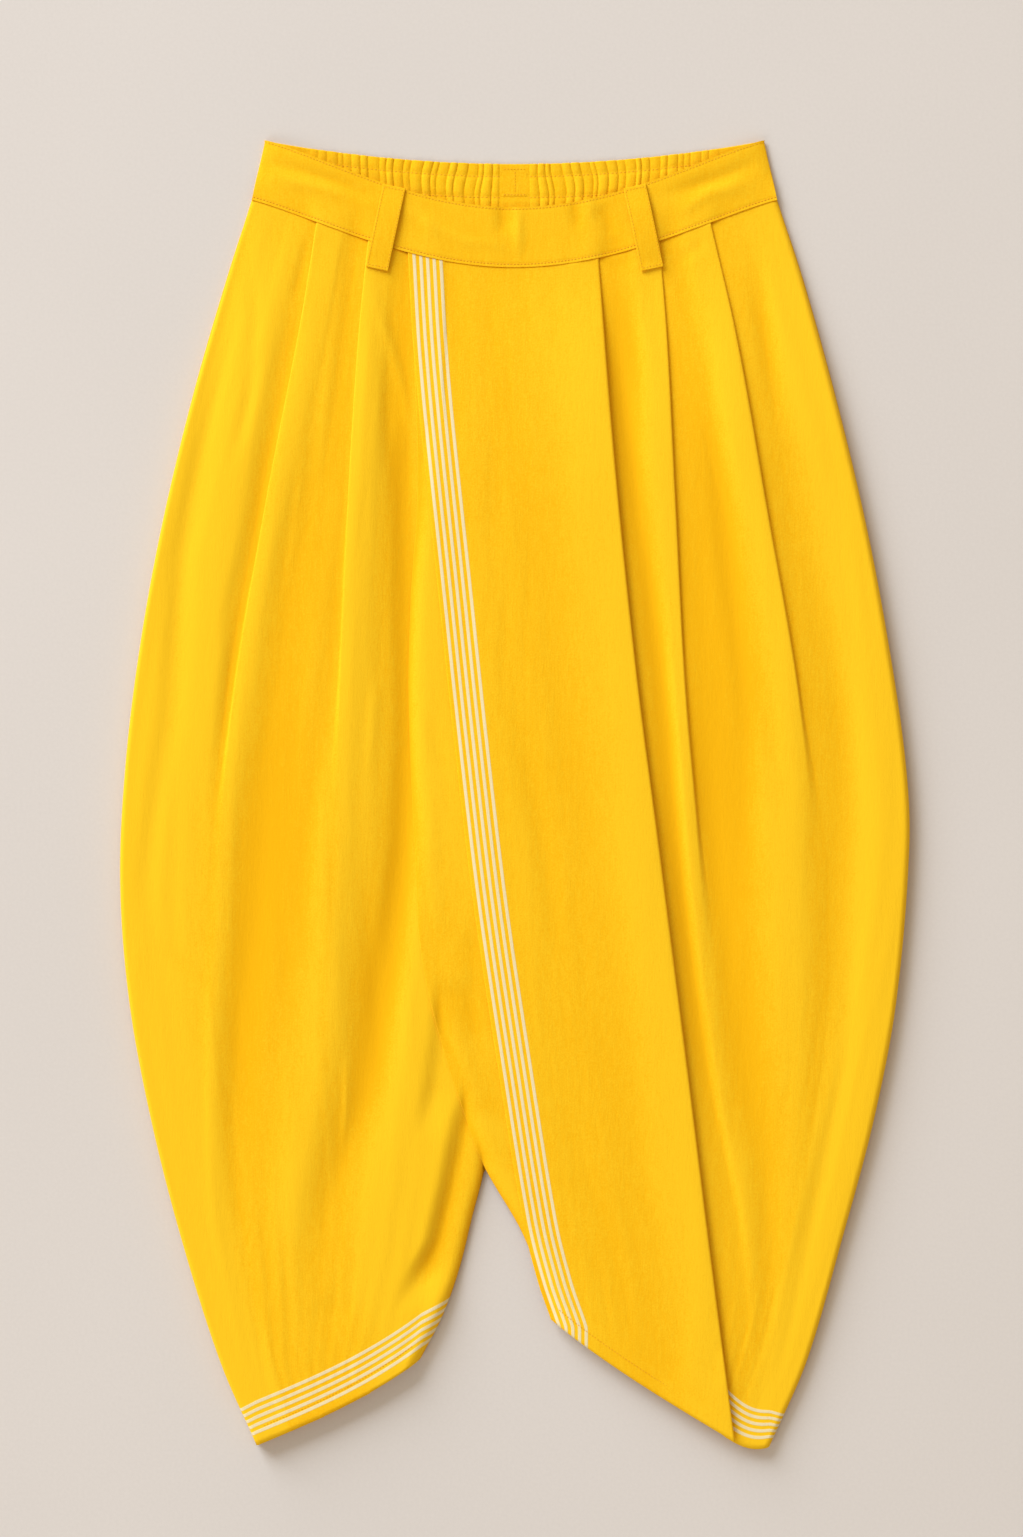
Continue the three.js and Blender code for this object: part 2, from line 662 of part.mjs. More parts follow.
const twill = new THREE.MeshStandardMaterial({ color: 0xfdc928, roughness: 0.82, metalness: 0 });
function addPiece(name, geometry, side = THREE.DoubleSide) {
  const material = twill.clone();
  material.side = side;
  const mesh = new THREE.Mesh(geometry, material);
  mesh.name = name;
  dhoti.add(mesh);
  return mesh;
}

addPiece("right_back", backPanel(rightBackOutline()));
addPiece("left_back", backPanel(leftBackOutline()));
addPiece("right_front", clothWall(frontRows(RIGHT_FRONT, rightHeight), CLOTH));
addPiece("left_front", clothWall(frontRows(LEFT_FRONT, leftHeight), CLOTH));
addPiece("wrap_panel", clothWall(wrapRows(), CLOTH));
addPiece("front_band", clothWall(frontBandRows(), BAND_THICK));
addPiece("back_band", clothWall(backBandRows(), CLOTH));
addPiece("back_tab", clothWall(tabRows(), TAB.thick));

for (const side of [-1, 1]) {
  const loop = addPiece(side < 0 ? "right_belt_loop" : "left_belt_loop", clothWall(loopRows(), LOOP.thick));
  loop.position.set(side * LOOP.x, LOOP.y, 0);
  loop.rotation.z = THREE.MathUtils.degToRad(side * LOOP.tilt);
}

export default dhoti;
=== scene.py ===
"""Stitched dhoti trousers in yellow cotton twill, laid flat with the front upwards.

Sizes in the tables are millimetres, and the meshes are metres. X runs across the garment, Y from the hems
to the waist, Z up from the surface it lies on. "Right" and "left" are the wearer's: the right leg is on -X.
"""

import math

import bmesh
import bpy
import numpy as np
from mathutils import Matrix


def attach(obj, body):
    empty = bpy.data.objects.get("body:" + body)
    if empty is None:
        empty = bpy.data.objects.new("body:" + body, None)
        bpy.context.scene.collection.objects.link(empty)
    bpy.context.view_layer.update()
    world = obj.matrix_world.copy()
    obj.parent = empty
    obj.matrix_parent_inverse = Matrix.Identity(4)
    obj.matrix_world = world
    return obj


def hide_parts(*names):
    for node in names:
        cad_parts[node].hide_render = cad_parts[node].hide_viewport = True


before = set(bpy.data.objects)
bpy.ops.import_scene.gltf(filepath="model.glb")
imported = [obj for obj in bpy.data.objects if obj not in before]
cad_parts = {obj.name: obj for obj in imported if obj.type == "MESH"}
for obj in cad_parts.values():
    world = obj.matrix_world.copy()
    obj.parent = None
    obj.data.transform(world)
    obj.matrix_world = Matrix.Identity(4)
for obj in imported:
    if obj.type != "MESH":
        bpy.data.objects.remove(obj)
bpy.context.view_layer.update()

MM = 0.001

# The photo's scale, found from the band and the belt loops
PHOTO_HIGH = 1537
MM_PER_PIXEL = 0.77

# Cloth
CLOTH = 0.7  # one layer of twill
PRESSED = 0.8  # from one layer's middle to the next where a fold is pressed
LOFTED = 1.45  # and where it is loose
RIGHT_LOFTED = 0.8  # on the right leg, whose pleats lie flatter
WRAP_LOFTED = 1.5  # and under the wrap's turned-back edge
LAP = 1.5  # from a panel's middle to that of the panel lying on it
LAP_AT_SEAM = 0.75
LYING = 1.75  # middle of a cloth that lies on a back panel
PUFF = 9.5  # how far a front stands over LYING where the leg is fullest
LEG_AT_SEAM = 4.6  # middle of a front where the band is sewn on

# Waist
WAIST_HALF = 191.7
SEAM_HALF = 202.0
WAIST_Y = 502.0
SEAM_Y = 455.8
FRONT_DIP = 51.8  # how far the middle of the front lies below the corners of the waist
BACK_DIP = 18.0
BAND_WIDTH = WAIST_Y - SEAM_Y
BAND_MIDDLE = 5.9  # height of the front band's middle, away from the sides
BAND_THICK = 1.5
BAND_OVER_SEAM = -0.1  # from the top of the cloth in the seam to the band's middle
TUCK = 1.4  # how far a front's upper edge is sewn into the band

# Heights down the garment at which the folds are measured
LEVELS = (440, 356, 226, 72, -82, -221, -352, -480)


def mix(a, b, t):
    return a + (b - a) * t


def smooth(x, low, high):
    """0 below low, 1 above high, with a soft start and end between them."""
    t = np.clip((x - low) / (high - low), 0, 1)
    return t * t * (3 - 2 * t)


def roll(distance, width):
    """Quarter-round rise of cloth from an edge, 0 on it and 1 from the width inwards."""
    left = 1 - np.clip(distance / width, 0, 1)
    return np.sqrt(1 - left * left)


def line_through(stations):
    """A smooth line, as x for a given y, through stations that run down the garment."""
    ys = np.array(list(stations), float)
    xs = np.array(list(stations.values()), float)
    before = np.maximum(np.arange(len(ys)) - 1, 0)
    after = np.minimum(np.arange(len(ys)) + 1, len(ys) - 1)
    slopes = (xs[after] - xs[before]) / (ys[after] - ys[before])

    def at(y):
        y = np.asarray(y, float)
        i = np.clip((ys[1:] > y[..., None]).sum(-1), 0, len(ys) - 2)
        span = ys[i + 1] - ys[i]
        t = np.clip((y - ys[i]) / span, -0.2, 1.2)
        bend = (2 * t - 3) * t * t
        ends = xs[i] * (1 + bend) - xs[i + 1] * bend
        return ends + span * (slopes[i] * t * (1 - t) ** 2 - slopes[i + 1] * t * t * (1 - t))

    return at


def at_levels(*xs):
    """A line through one x for each of the levels."""
    return line_through(dict(zip(LEVELS, xs)))


# Outlines, as y: x
right_side = line_through({
    455.8: 202, 395: 221, 303: 247.5, 210: 270, 118: 287, 25: 298.6,
    -67: 303, -160: 296, -252: 279, -344: 255.5, -437: 226, -500: 198.5,
})
left_side = line_through({
    455.8: 202, 395: 221.5, 303: 247, 210: 269.5, 118: 287, 25: 300.5,
    -40: 303.5, -160: 293.5, -252: 276, -344: 251.5, -437: 224.5, -502: 196,
})
right_inner = line_through({
    410: -50, 200: -45, 0: -36, -150: -25, -240: -18, -289: -23.5,
    -325: -32.5, -367: -43, -403: -56, -434: -72,
})
left_inner = line_through({
    410: -81.5, 330: -77, 228: -74.3, 154: -79.4, 70: -81.3, -67: -75.4, -117: -72.5,
    -174: -61, -239: -41, -286: -23.5, -334: 4.2, -366: 17.5, -398: 28,
})
wrap_selvedge = line_through({
    410: -81.7, 349: -78.2, 287: -72.8, 164: -59.7, 41: -46.6, -82: -32,
    -206: -13.5, -329: 6.5, -375: 18, -404: 28,
})
wrap_fold = line_through({415: 64, 253: 76.6, 91: 93.3, -42: 110.5, -210: 132, -353: 149.8, -497: 168.5})

# Hems: both ends, how far the edge bellies below the line between them, and how far out the belly lies
HEMS = {
    "right": {"inner": (-72, -434), "outer": (-198, -500.5), "belly": 5.5, "skew": 0.8},
    "left": {"inner": (28, -398), "outer": (196, -502), "belly": 13.5, "skew": 3.5},
    "wrap": {"inner": (28, -404), "outer": (168.5, -497), "belly": 4, "skew": 0.8},
}

# Knife pleats: the fold's edge at each level, the way it faces, the depth under it, and the height below
# which its pressed fold parts, stays open over a stretch and eases out into flat cloth
PLEATS = {
    "right outer": (at_levels(-151.5, -165, -190, -216, -230, -222, -198, -166), -1, 14, 280),
    "right inner": (at_levels(-110.5, -119, -127.5, -135, -143, -146, -140, -128), -1, 14, 320),
    "left inner": (at_levels(109.5, 116.5, 123, 131.5, 146, 158, 156, 128), 1, 14, 220),
    "left outer": (at_levels(150, 169, 192, 218.5, 236, 228, 203, 160), 1, 14, 310),
}
PARTING, BETWEEN, EASING = 130, 70, 150

# Soft folds: x at each level, then their height over the body above and below the thigh
THIGH, THIGH_LONG = 125, 175  # where the upper heights start to give way to the lower ones, and over how far
RIGHT_FOLDS = {
    "side trough": (-194, -225, -254, -267, -286, -269, -242, -206, -0.3, 0.7),
    "outer crest": (-173, -190, -212, -230, -244, -246, -236, -201, 1.2, 0.8),
    "pleat trough": (-157, -170, -195, -220, -236, -240, -232, -198, -1.8, 0.8),
    "pleat crest": (-146, -157, -182, -207, -226, -233, -227, -194, 0.0, 1.4),
    "broad trough": (-134, -141, -168, -181, -198, -213, -209, -184, -1.1, -1.2),
    "pleat hollow": (-115, -123, -133, -144, -172, -190, -192, -170, -0.7, 0.0),
    "long crest": (-104, -111, -118, -127, -138, -151, -170, -152, 1.0, 2.2),
    "deep trough": (-86, -85, -82, -79, -88, -112, -146, -130, -2.8, -2.6),
    "inner crest": (-72, -70, -68, -64, -70, -82, -92, -96, -1.0, 0.6),
    "inner flat": (-56, -54, -52, -50, -53, -56, -68, -82, -0.8, 0.4),
    "edge crest": (-40, -38, -36, -34, -38, -38, -52, -70, -0.8, 0.6),
}
LEFT_FOLDS = {
    "covered crest": (-40, -36, -30, -20, -5, 20, 50, 80, 1.0, 1.0),
    "covered flat": (57, 64, 78, 98, 113, 131, 146, 160, 1.0, 0.9),
    "wrap trough": (70, 78, 96, 116, 130, 149, 174, 178, -2.0, -2.2),
    "narrow crest": (99, 105, 114, 125, 138, 157, 180, 182, -0.1, 0.0),
    "second trough": (118, 127, 136, 148, 160, 180, 196, 187, -0.6, -2.4),
    "broad crest": (144, 163, 187, 208, 214, 218, 211, 192, 0.9, 1.1),
    "third trough": (160, 187, 217, 248, 252, 246, 223, 198, -1.4, -1.5),
    "outer crest": (176, 210, 250, 277, 279, 262, 234, 203, 0.3, 0.5),
}

# Creases that run a short way over one panel: half width, height and path
RIGHT_CREASES = [
    (5, -0.8, [(-206, 420), (-199, 360), (-206, 300), (-218, 250)]),
    (4, -0.7, [(-160, 424), (-164, 400), (-170, 376)]),
    (4, -0.7, [(-196, 340), (-203, 300), (-212, 262)]),
    (4, -0.7, [(-212, 180), (-218, 150), (-224, 110)]),
    (9, -1.9, [(-198, 470), (-226, 333), (-255, 180), (-263, 56), (-291, -110)]),
    (6, -0.5, [(-275, -115), (-250, -135), (-226, -155)]),
    (4, 0.9, [(-111, 388), (-97, 350), (-84, 304), (-79, 272)]),
    (5, -0.6, [(-100, 330), (-97, 290), (-98, 240)]),
    (6, 0.5, [(-140, 350), (-146, 290), (-150, 230)]),
    (7, 0.5, [(-150, 180), (-154, 100), (-160, 20)]),
    (4, 0.6, [(-104, 90), (-108, 60), (-110, 20)]),
    (3, 0.7, [(-128, -200), (-129, -240), (-131, -270)]),
    (6, -1.6, [(-34, -215), (-38, -245), (-48, -291), (-59, -344), (-74, -385)]),
    (14, -0.6, [(-150, -388), (-140, -400), (-128, -405)]),
]
LEFT_CREASES = [
    (5, 0.6, [(-62, 10), (-66, -60), (-60, -120)]),
    (4, -0.6, [(-64, 60), (-58, 30), (-50, 14)]),
    (4, -1.1, [(-31, -100), (-34, -150), (-28, -200)]),
    (4, -0.6, [(-50, -160), (-36, -130), (-29, -112)]),
    (3.5, -1.0, [(70, 406), (84, 408), (98, 416)]),
    (3.5, -0.8, [(124, 408), (136, 416), (146, 424)]),
    (6, -0.9, [(87, 380), (94, 335), (100, 290)]),
    (9, -1.5, [(145, 375), (155, 264), (163, 195), (178, 56), (181, -75)]),
    (7, -1.2, [(182, 425), (189, 391), (196, 333), (203, 280)]),
    (7, -0.5, [(236, 250), (252, 160), (268, 90)]),
    (5, 0.5, [(252, -150), (244, -210), (230, -280), (214, -350)]),
]
WRAP_CREASES = [
    (9, -0.5, [(-10, 300), (-14, 240), (-18, 180)]),
    (8, -0.7, [(4, 60), (18, -20), (30, -90), (36, -140)]),
    (11, 0.6, [(14, 170), (22, 60), (34, -30)]),
    (10, 0.5, [(50, 330), (56, 220), (66, 120)]),
    (12, -0.5, [(60, 20), (72, -90), (88, -210)]),
    (10, 0.5, [(62, -260), (84, -350), (100, -410)]),
]

# Folds to whose right the cloth stays lower: half width, drop, how far it fades in, and path upwards
RIGHT_STEPS = [
    (5, 2.8, 45, [(-76, -270), (-66, -222), (-61, -182), (-59, -135)]),
    (6.5, 5, 45, [(-92, -400), (-76, -365), (-64, -344), (-53, -300), (-42, -245), (-32, -214)]),
    (7, 1.8, 170, [(-122, -230), (-106, -130), (-93, -40), (-89, 56), (-90, 195), (-94, 290)]),
]
STEP_FADE_OUT = 45


def step_height(x, y, steps):
    """Drop of the cloth beyond each step, fading out at both ends of its path."""
    total = np.zeros_like(x + y)
    for wide, drop, fade, path in steps:
        across, up = np.array(path, float).T
        shown = smooth(y, up[0], up[0] + fade) * (1 - smooth(y, up[-1] - STEP_FADE_OUT, up[-1]))
        total -= drop * shown * smooth(x - np.interp(y, up, across), -wide, wide)
    return total


def crease_height(x, y, creases):
    """Sum of soft creases, each fading out at both ends."""
    total = np.zeros_like(x)
    for wide, high, path in creases:
        path = np.array(path, float)
        steps = np.linalg.norm(np.diff(path, axis=0), axis=1)
        along = np.concatenate([[0], np.cumsum(steps)]) / steps.sum()
        nearest = np.full(x.shape, 1e9)
        share = np.zeros_like(x)
        for (x0, y0), (x1, y1), s0, s1 in zip(path[:-1], path[1:], along[:-1], along[1:]):
            dx, dy = x1 - x0, y1 - y0
            t = np.clip(((x - x0) * dx + (y - y0) * dy) / (dx * dx + dy * dy), 0, 1)
            away = np.hypot(x - x0 - t * dx, y - y0 - t * dy)
            closer = away < nearest
            nearest = np.where(closer, away, nearest)
            share = np.where(closer, mix(s0, s1, t), share)
        fade = np.sin(np.pi * np.clip(share, 0.02, 0.98)) ** 0.7
        total += high * fade * np.exp(-((nearest / wide) ** 2))
    return total


def ripples(across, down, size, seed):
    """Small uneven undulations that run down a panel, about -1 to 1."""
    rng = np.random.default_rng(seed)
    total = np.zeros_like(across + down)
    for _ in range(8):
        wave = size * rng.uniform(0.55, 1.7)
        drift = rng.normal(0, 0.05)
        swing, swell = rng.uniform(0, 2 * math.pi, 2)
        bend = 0.9 * np.sin(down / (wave * 1.6 + 25) + swing)
        strength = 0.55 + 0.45 * np.sin(down / (wave * 1.3 + 30) + swell)
        total += strength * np.sin(2 * math.pi * (across + drift * down) / wave + bend + 2 * swell)
    return total / 4


def dip_shape(x, half):
    """Curve of the front waist, 1 in the middle and 0 at the sides."""
    return np.cos(np.pi / 2 * np.clip(x / half, -1, 1)) ** 1.15


# The band's seam and the garment's upper edges, as y for an x
def seam_y(x):
    return SEAM_Y - FRONT_DIP * dip_shape(x, SEAM_HALF)


def front_top_y(x):
    return WAIST_Y - FRONT_DIP * dip_shape(x, WAIST_HALF)


def back_top_y(x):
    return WAIST_Y - BACK_DIP * (1 - (x / WAIST_HALF) ** 2)


def hem_point(hem, share):
    """Point of a hem's edge, at a share of the way from its inner end to its outer one."""
    belly = hem["belly"] * np.sin(np.pi * share ** hem["skew"])
    return (
        mix(hem["inner"][0], hem["outer"][0], share),
        mix(hem["inner"][1], hem["outer"][1], share) - belly,
    )


def hem_y(hem, x):
    share = np.clip((x - hem["inner"][0]) / (hem["outer"][0] - hem["inner"][0]), 0, 1)
    return hem_point(hem, share)[1]


def fold_lines(table):
    lines = []
    for *xs, upper, lower in table.values():
        lines.append((at_levels(*xs), upper, lower))
    return lines


def fold_height(lines, x, y):
    """Height of the folds, rising and falling smoothly from each line to the next."""
    below_thigh = smooth(THIGH - y, 0, THIGH_LONG)
    highs = [mix(upper, lower, below_thigh) for _, upper, lower in lines]
    places = [at(y) for at, _, _ in lines]
    total = highs[0] + 0 * x
    for low, high, start, end in zip(highs[:-1], highs[1:], places[:-1], places[1:]):
        total = total + (high - low) * smooth(x, start, np.maximum(end, start + 4))
    return total


RIGHT_LINES = fold_lines(RIGHT_FOLDS)
LEFT_LINES = fold_lines(LEFT_FOLDS)

# How a front rises from the seam and falls to the hem, as distances from them
BODY_RISE, BODY_FALL = 190, 260
FOLDS_RISE, FOLDS_FALL, FOLDS_AT_HEM = 120, 200, 0.12
RIPPLES = {60: 0.4, 26: 0.22, 11: 0.09}  # length of a ripple: height
HEM_DEEP, HEM_STEP = 10, 0.35  # depth of the turned-up hem, and how much higher it lies


def puffed(lines, creases, x, y, flow, room, edges, hem, at_hem, seed):
    """Height of a leg's front. Folds are as high as the cloth between them has room for, ripples follow flow,
    the place across the leg, and at_hem is the share of the body's height that is left at the hem."""
    from_seam = seam_y(x) - y
    from_hem = y - hem_y(hem, x)
    body = mix(LEG_AT_SEAM - LYING, PUFF, smooth(from_seam, -10, BODY_RISE))
    body = body * mix(at_hem, 1, smooth(from_hem, 0, BODY_FALL))
    swing = smooth(from_seam, 0, FOLDS_RISE) * mix(FOLDS_AT_HEM, 1, smooth(from_hem, 10, FOLDS_FALL))
    folds = fold_height(lines, x, y) * swing * room
    small = crease_height(x, y, creases)
    for size, high in RIPPLES.items():
        small = small + high * ripples(flow, y, size, seed + size)
    small *= smooth(from_seam, -4, 24) * smooth(from_hem, 0, 30)
    turn_up = HEM_STEP * (1 - smooth(from_hem, HEM_DEEP - 0.6, HEM_DEEP + 0.6))
    return LYING + (body + folds + small + turn_up) * edges


# How far in from its outer and inner edges a front is rounded
RIGHT_ROLLS = (2.6, 9)
LEFT_ROLLS = (4, 16)
# Widths at which the folds of a leg have their whole height
RIGHT_ROOM, LEFT_ROOM = 250, 180


def right_height(x, y):
    edges = roll(x + right_side(y), RIGHT_ROLLS[0]) * roll(right_inner(y) - x, RIGHT_ROLLS[1])
    wide = right_side(y) + right_inner(y)
    flow = 240 * (x - right_inner(y)) / wide
    room = wide / RIGHT_ROOM * mix(0.35, 1, smooth(y, -400, -230))
    high = puffed(RIGHT_LINES, RIGHT_CREASES, x, y, flow, room, edges, HEMS["right"], 1.1, 3)
    return high + step_height(x, y, RIGHT_STEPS) * edges


def lap(x, y):
    """Distance between the middles of two panels that lie on each other."""
    return mix(LAP_AT_SEAM, LAP, smooth(seam_y(x) - y, 0, 60))


def left_height(x, y):
    """Height of the left front, which lies on the right one where they lap."""
    from_inner = x - left_inner(y)
    edges = roll(left_side(y) - x, LEFT_ROLLS[0]) * roll(from_inner + 2, LEFT_ROLLS[1])
    flow = 280 * from_inner / (left_side(y) - left_inner(y))
    room = (np.maximum(left_side(y) - wrap_fold(y), 10) / LEFT_ROOM) ** 1.5
    alone = puffed(LEFT_LINES, LEFT_CREASES, x, y, flow, room, edges, HEMS["left"], 0.75, 11)
    covers = smooth(right_inner(y) - x, -6, 4) * smooth(y, -330, -285)
    on_right = right_height(np.minimum(x, right_inner(y)), y) + lap(x, y)
    return mix(alone, np.maximum(alone, on_right), covers)


def wrap_height(x, y):
    """Height of the wrap panel, which lies on the left front and swells a little towards its fold."""
    inside = np.maximum(x, left_inner(y) + 1)
    below = left_height(inside, np.maximum(y, hem_y(HEMS["left"], inside)))
    from_seam = seam_y(x) - y
    swell = 1.2 * roll(x - wrap_selvedge(y), 45) * smooth(from_seam, 0, 90)
    flow = x - wrap_fold(y)
    own = 0.8 * crease_height(x, y, WRAP_CREASES)
    own = own + 0.16 * ripples(flow, y, 60, 23) + 0.05 * ripples(flow, y, 16, 29)
    at_fold = 0.7 * np.exp(-((flow / 26) ** 2)) * smooth(from_seam, 10, 200)
    return below + lap(x, y) + swell + at_fold + own * smooth(from_seam, 0, 30)


def spread(panel, u, v):
    """Point of a panel between its four edges: u from -X to +X, v from the seam to the hem."""
    corners = []
    for edge in (panel["left"], panel["right"]):
        y = mix(edge["top"] + TUCK, edge["bottom"], v)
        corners.append((edge["at"](y), y))

    def top(share):
        ends = [panel[side]["at"](panel[side]["top"]) for side in ("left", "right")]
        x = mix(ends[0], ends[1], share)
        return x, seam_y(x)

    def hem(share):
        return hem_point(panel["hem"], 1 - share if panel["mirrored"] else share)

    point = []
    for key in (0, 1):
        over_top = top(u)[key] - mix(top(0)[key], top(1)[key], u)
        over_hem = hem(u)[key] - mix(hem(0)[key], hem(1)[key], u)
        base = mix(corners[0][key], corners[1][key], u)
        point.append(base + over_top * (1 - v) + over_hem * v)
    return point


# Section of a knife pleat from the top layer to the lower one: across the fold when pressed (in depths and
# millimetres), standing and flat, and its layer when pressed and standing
PLEAT_SECTION = np.array([
    # depths, beyond, layer, standing, stands, flat
    (-1, -24, 0, -30, 0, -18),
    (-1, -16, 0.5, -22, 0.5, -14.5),
    (-1, -10, 1.2, -15, 1.1, -11.5),
    (-1, -4, 1.8, -8.5, 1.6, -8.5),
    (-0.5, 0, 1.95, -3.6, 1.9, -5.5),
    (0, -0.7, 2, -0.7, 2, -3),
    (0, 0, 1.5, 0, 1.6, -1.2),
    (0, -0.7, 1, 0, 1.2, 0),
    (-1, 0.7, 1, 0.1, 0.8, 1.2),
    (-1, 0, 0.5, 0.2, 0.4, 2.6),
    (-1, 0.7, 0, 1, 0, 4),
    (0, 1.2, 0, 3, 0, 5.2),
    (0, 4, 0, 6.5, 0, 6.5),
])
TAIL = -4  # where the top layer starts to slope down, which it does faster near the seam
TAIL_AT_SEAM = 0.65


def smoothed_section(table, between):
    """The rows of a section with smooth steps between them."""
    fine = []
    last = len(table) - 1
    for i in range(last):
        a, b, c, d = (table[k] for k in (max(i - 1, 0), i, i + 1, min(i + 2, last)))
        for t in np.arange(between) / between:
            curved = (c - a) * t + (2 * a - 5 * b + 4 * c - d) * t**2 + (3 * b - a - 3 * c + d) * t**3
            fine.append(mix(b + curved / 2, mix(b, c, t), 0.35))
    fine.append(table[last])
    return np.array(fine)


FINE_SECTION = smoothed_section(PLEAT_SECTION, 4)


def pleat_points(pleat, edge_x, edge_y, row_slope, height):
    """The section of a pleat at each row, with its fold at the edge."""
    _, faces, depth, opens = pleat
    below = opens - edge_y
    apart = smooth(below, 0, PARTING)[:, None]
    eased = smooth(below - PARTING - BETWEEN, 0, EASING)[:, None]
    loft = smooth(seam_y(edge_x) - edge_y, 20, 150)[:, None]
    pitch = mix(PRESSED, LOFTED if faces > 0 else RIGHT_LOFTED, loft) * (1 - eased)
    depths, beyond, layer, standing, stands, flat = FINE_SECTION.T
    near_seam = smooth(seam_y(edge_x) - edge_y, 0, 110)[:, None]
    shorter = TAIL + (beyond - TAIL) * mix(TAIL_AT_SEAM, 1, near_seam)
    beyond = np.where(beyond < TAIL, shorter, beyond)
    across = mix(mix(depths * depth + beyond, standing, apart), flat, eased)
    x = edge_x[:, None] + faces * across
    y = edge_y[:, None] + row_slope[:, None] * (x - edge_x[:, None])
    points = np.stack([x, y, height(x, y) + mix(layer, stands, apart) * pitch], axis=-1)
    return points if faces > 0 else points[:, ::-1]


def share_on(line, at, rows):
    """Share of each row at which it meets a line, found by halving."""
    low, high = np.zeros(rows), np.ones(rows)
    for _ in range(30):
        middle = (low + high) / 2
        x, y = at(middle)
        short = x < line(y)
        low, high = np.where(short, middle, low), np.where(short, high, middle)
    return middle


def front_points(panel, height, rows):
    """Rows of middle points of a front, with its pleats in full section."""
    v = np.linspace(0, 1, rows)

    def at(u):
        x, y = spread(panel, u, v if np.ndim(u) < 2 else v[:, None])
        return np.broadcast_to(x, np.shape(u)), np.broadcast_to(y, np.shape(u))

    start_x = at(np.zeros(rows))[0]
    wide = at(np.ones(rows))[0] - start_x

    def plain(u):
        x, y = at(u)
        return np.stack([x, y, height(x, y)], axis=-1)

    def filled(start, end, count):
        """Even columns between two shares of each row."""
        shares = np.arange(1, count + 1) / (count + 1)
        return plain(mix(start[:, None], end[:, None], shares))

    parts = [plain(np.array(panel["left_insets"])[None] / wide[:, None])]
    done = panel["left_insets"][-1] / wide
    for pleat, count in zip(panel["pleats"], panel["counts"]):
        middle = share_on(pleat[0], at, rows)
        edge_x, edge_y = at(middle)
        (x0, y0), (x1, y1) = at(middle - 0.03), at(middle + 0.03)
        folded = pleat_points(pleat, edge_x, edge_y, (y1 - y0) / (x1 - x0), height)
        parts += [filled(done, (folded[:, 0, 0] - start_x) / wide, count), folded]
        done = (folded[:, -1, 0] - start_x) / wide
    last = np.array(panel["right_insets"])[::-1]
    parts += [filled(done, 1 - last[0] / wide, panel["counts"][-1]), plain(1 - last / wide[:, None])]
    return np.concatenate(parts, axis=1)


def insets(reach, count):
    """Distances of columns from an edge, closest together at it."""
    return list(reach * (np.arange(count) / (count - 1)) ** 1.7)


# Panels: both edges with their ends, the hem, the pleats from -X to +X and the columns between them
RIGHT_FRONT = {
    "left": {"at": lambda y: -right_side(y), "top": SEAM_Y, "bottom": -500.5},
    "right": {"at": right_inner, "top": seam_y(-50), "bottom": -434},
    "hem": HEMS["right"], "mirrored": True,
    "pleats": [PLEATS["right outer"], PLEATS["right inner"]], "counts": [14, 14, 22],
    "left_insets": insets(20, 12), "right_insets": insets(14, 6),
}
LEFT_FRONT = {
    "left": {"at": left_inner, "top": seam_y(-81.5), "bottom": -398},
    "right": {"at": left_side, "top": SEAM_Y, "bottom": -502},
    "hem": HEMS["left"], "mirrored": False,
    "pleats": [PLEATS["left inner"], PLEATS["left outer"]], "counts": [40, 16, 12],
    "left_insets": insets(10, 6), "right_insets": insets(20, 12),
}
WRAP = {
    "left": {"at": wrap_selvedge, "top": seam_y(-81.7), "bottom": -404},
    "right": {"at": wrap_fold, "top": seam_y(64), "bottom": -497},
    "hem": HEMS["wrap"], "mirrored": False,
}


# Making the pieces
def relief_for_painted_shade(points, reach=26):
    """Height of each point over its row's nearby mean, used to paint shade in troughs and highlight on
    crests.
    """
    z = np.pad(points[..., 2], ((0, 0), (reach + 1, reach)), mode="edge")
    sums = np.cumsum(z, axis=1)
    mean = (sums[:, 2 * reach + 1:] - sums[:, :-2 * reach - 1]) / (2 * reach + 1)
    return points[..., 2] - mean


def finished(form, name):
    """The mesh of a form."""
    mesh = bpy.data.meshes.new(name)
    form.to_mesh(mesh)
    form.free()
    return mesh


def placed(name, data):
    """A new object in the scene."""
    made = bpy.data.objects.new(name, data)
    bpy.context.scene.collection.objects.link(made)
    return made


def cloth_mesh(name, points, attributes=None):
    """A grid of cloth whose vertices are moved to the points, which are in rows from the waist down."""
    rows, columns = points.shape[:2]
    # Each mesh carries its height over its surroundings, by which the twill paints shade in troughs and
    # highlight on crests
    attributes = {"relief_for_painted_shade": relief_for_painted_shade(points), **(attributes or {})}
    form = bmesh.new()
    bmesh.ops.create_grid(form, x_segments=columns - 1, y_segments=rows - 1, size=1)
    places = []
    metres = points * MM
    for vert in form.verts:
        column = round((vert.co.x + 1) / 2 * (columns - 1))
        row = round((1 - vert.co.y) / 2 * (rows - 1))
        vert.co = metres[row, column]
        places.append((row, column))
    mesh = finished(form, name)
    rows_at, columns_at = np.array(places).T
    for key, values in attributes.items():
        layer = mesh.attributes.new(key, "FLOAT", "POINT")
        layer.data.foreach_set("value", (values[rows_at, columns_at] * MM).astype(np.float32))
    mesh.shade_smooth()
    return mesh


def piece(name, mesh, material, node=None):
    """An object of the garment, in the place of a CAD node if one is named."""
    made = placed(name, mesh)
    mesh.materials.append(material)
    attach(made, "root")
    if node:
        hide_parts(node)
    return made


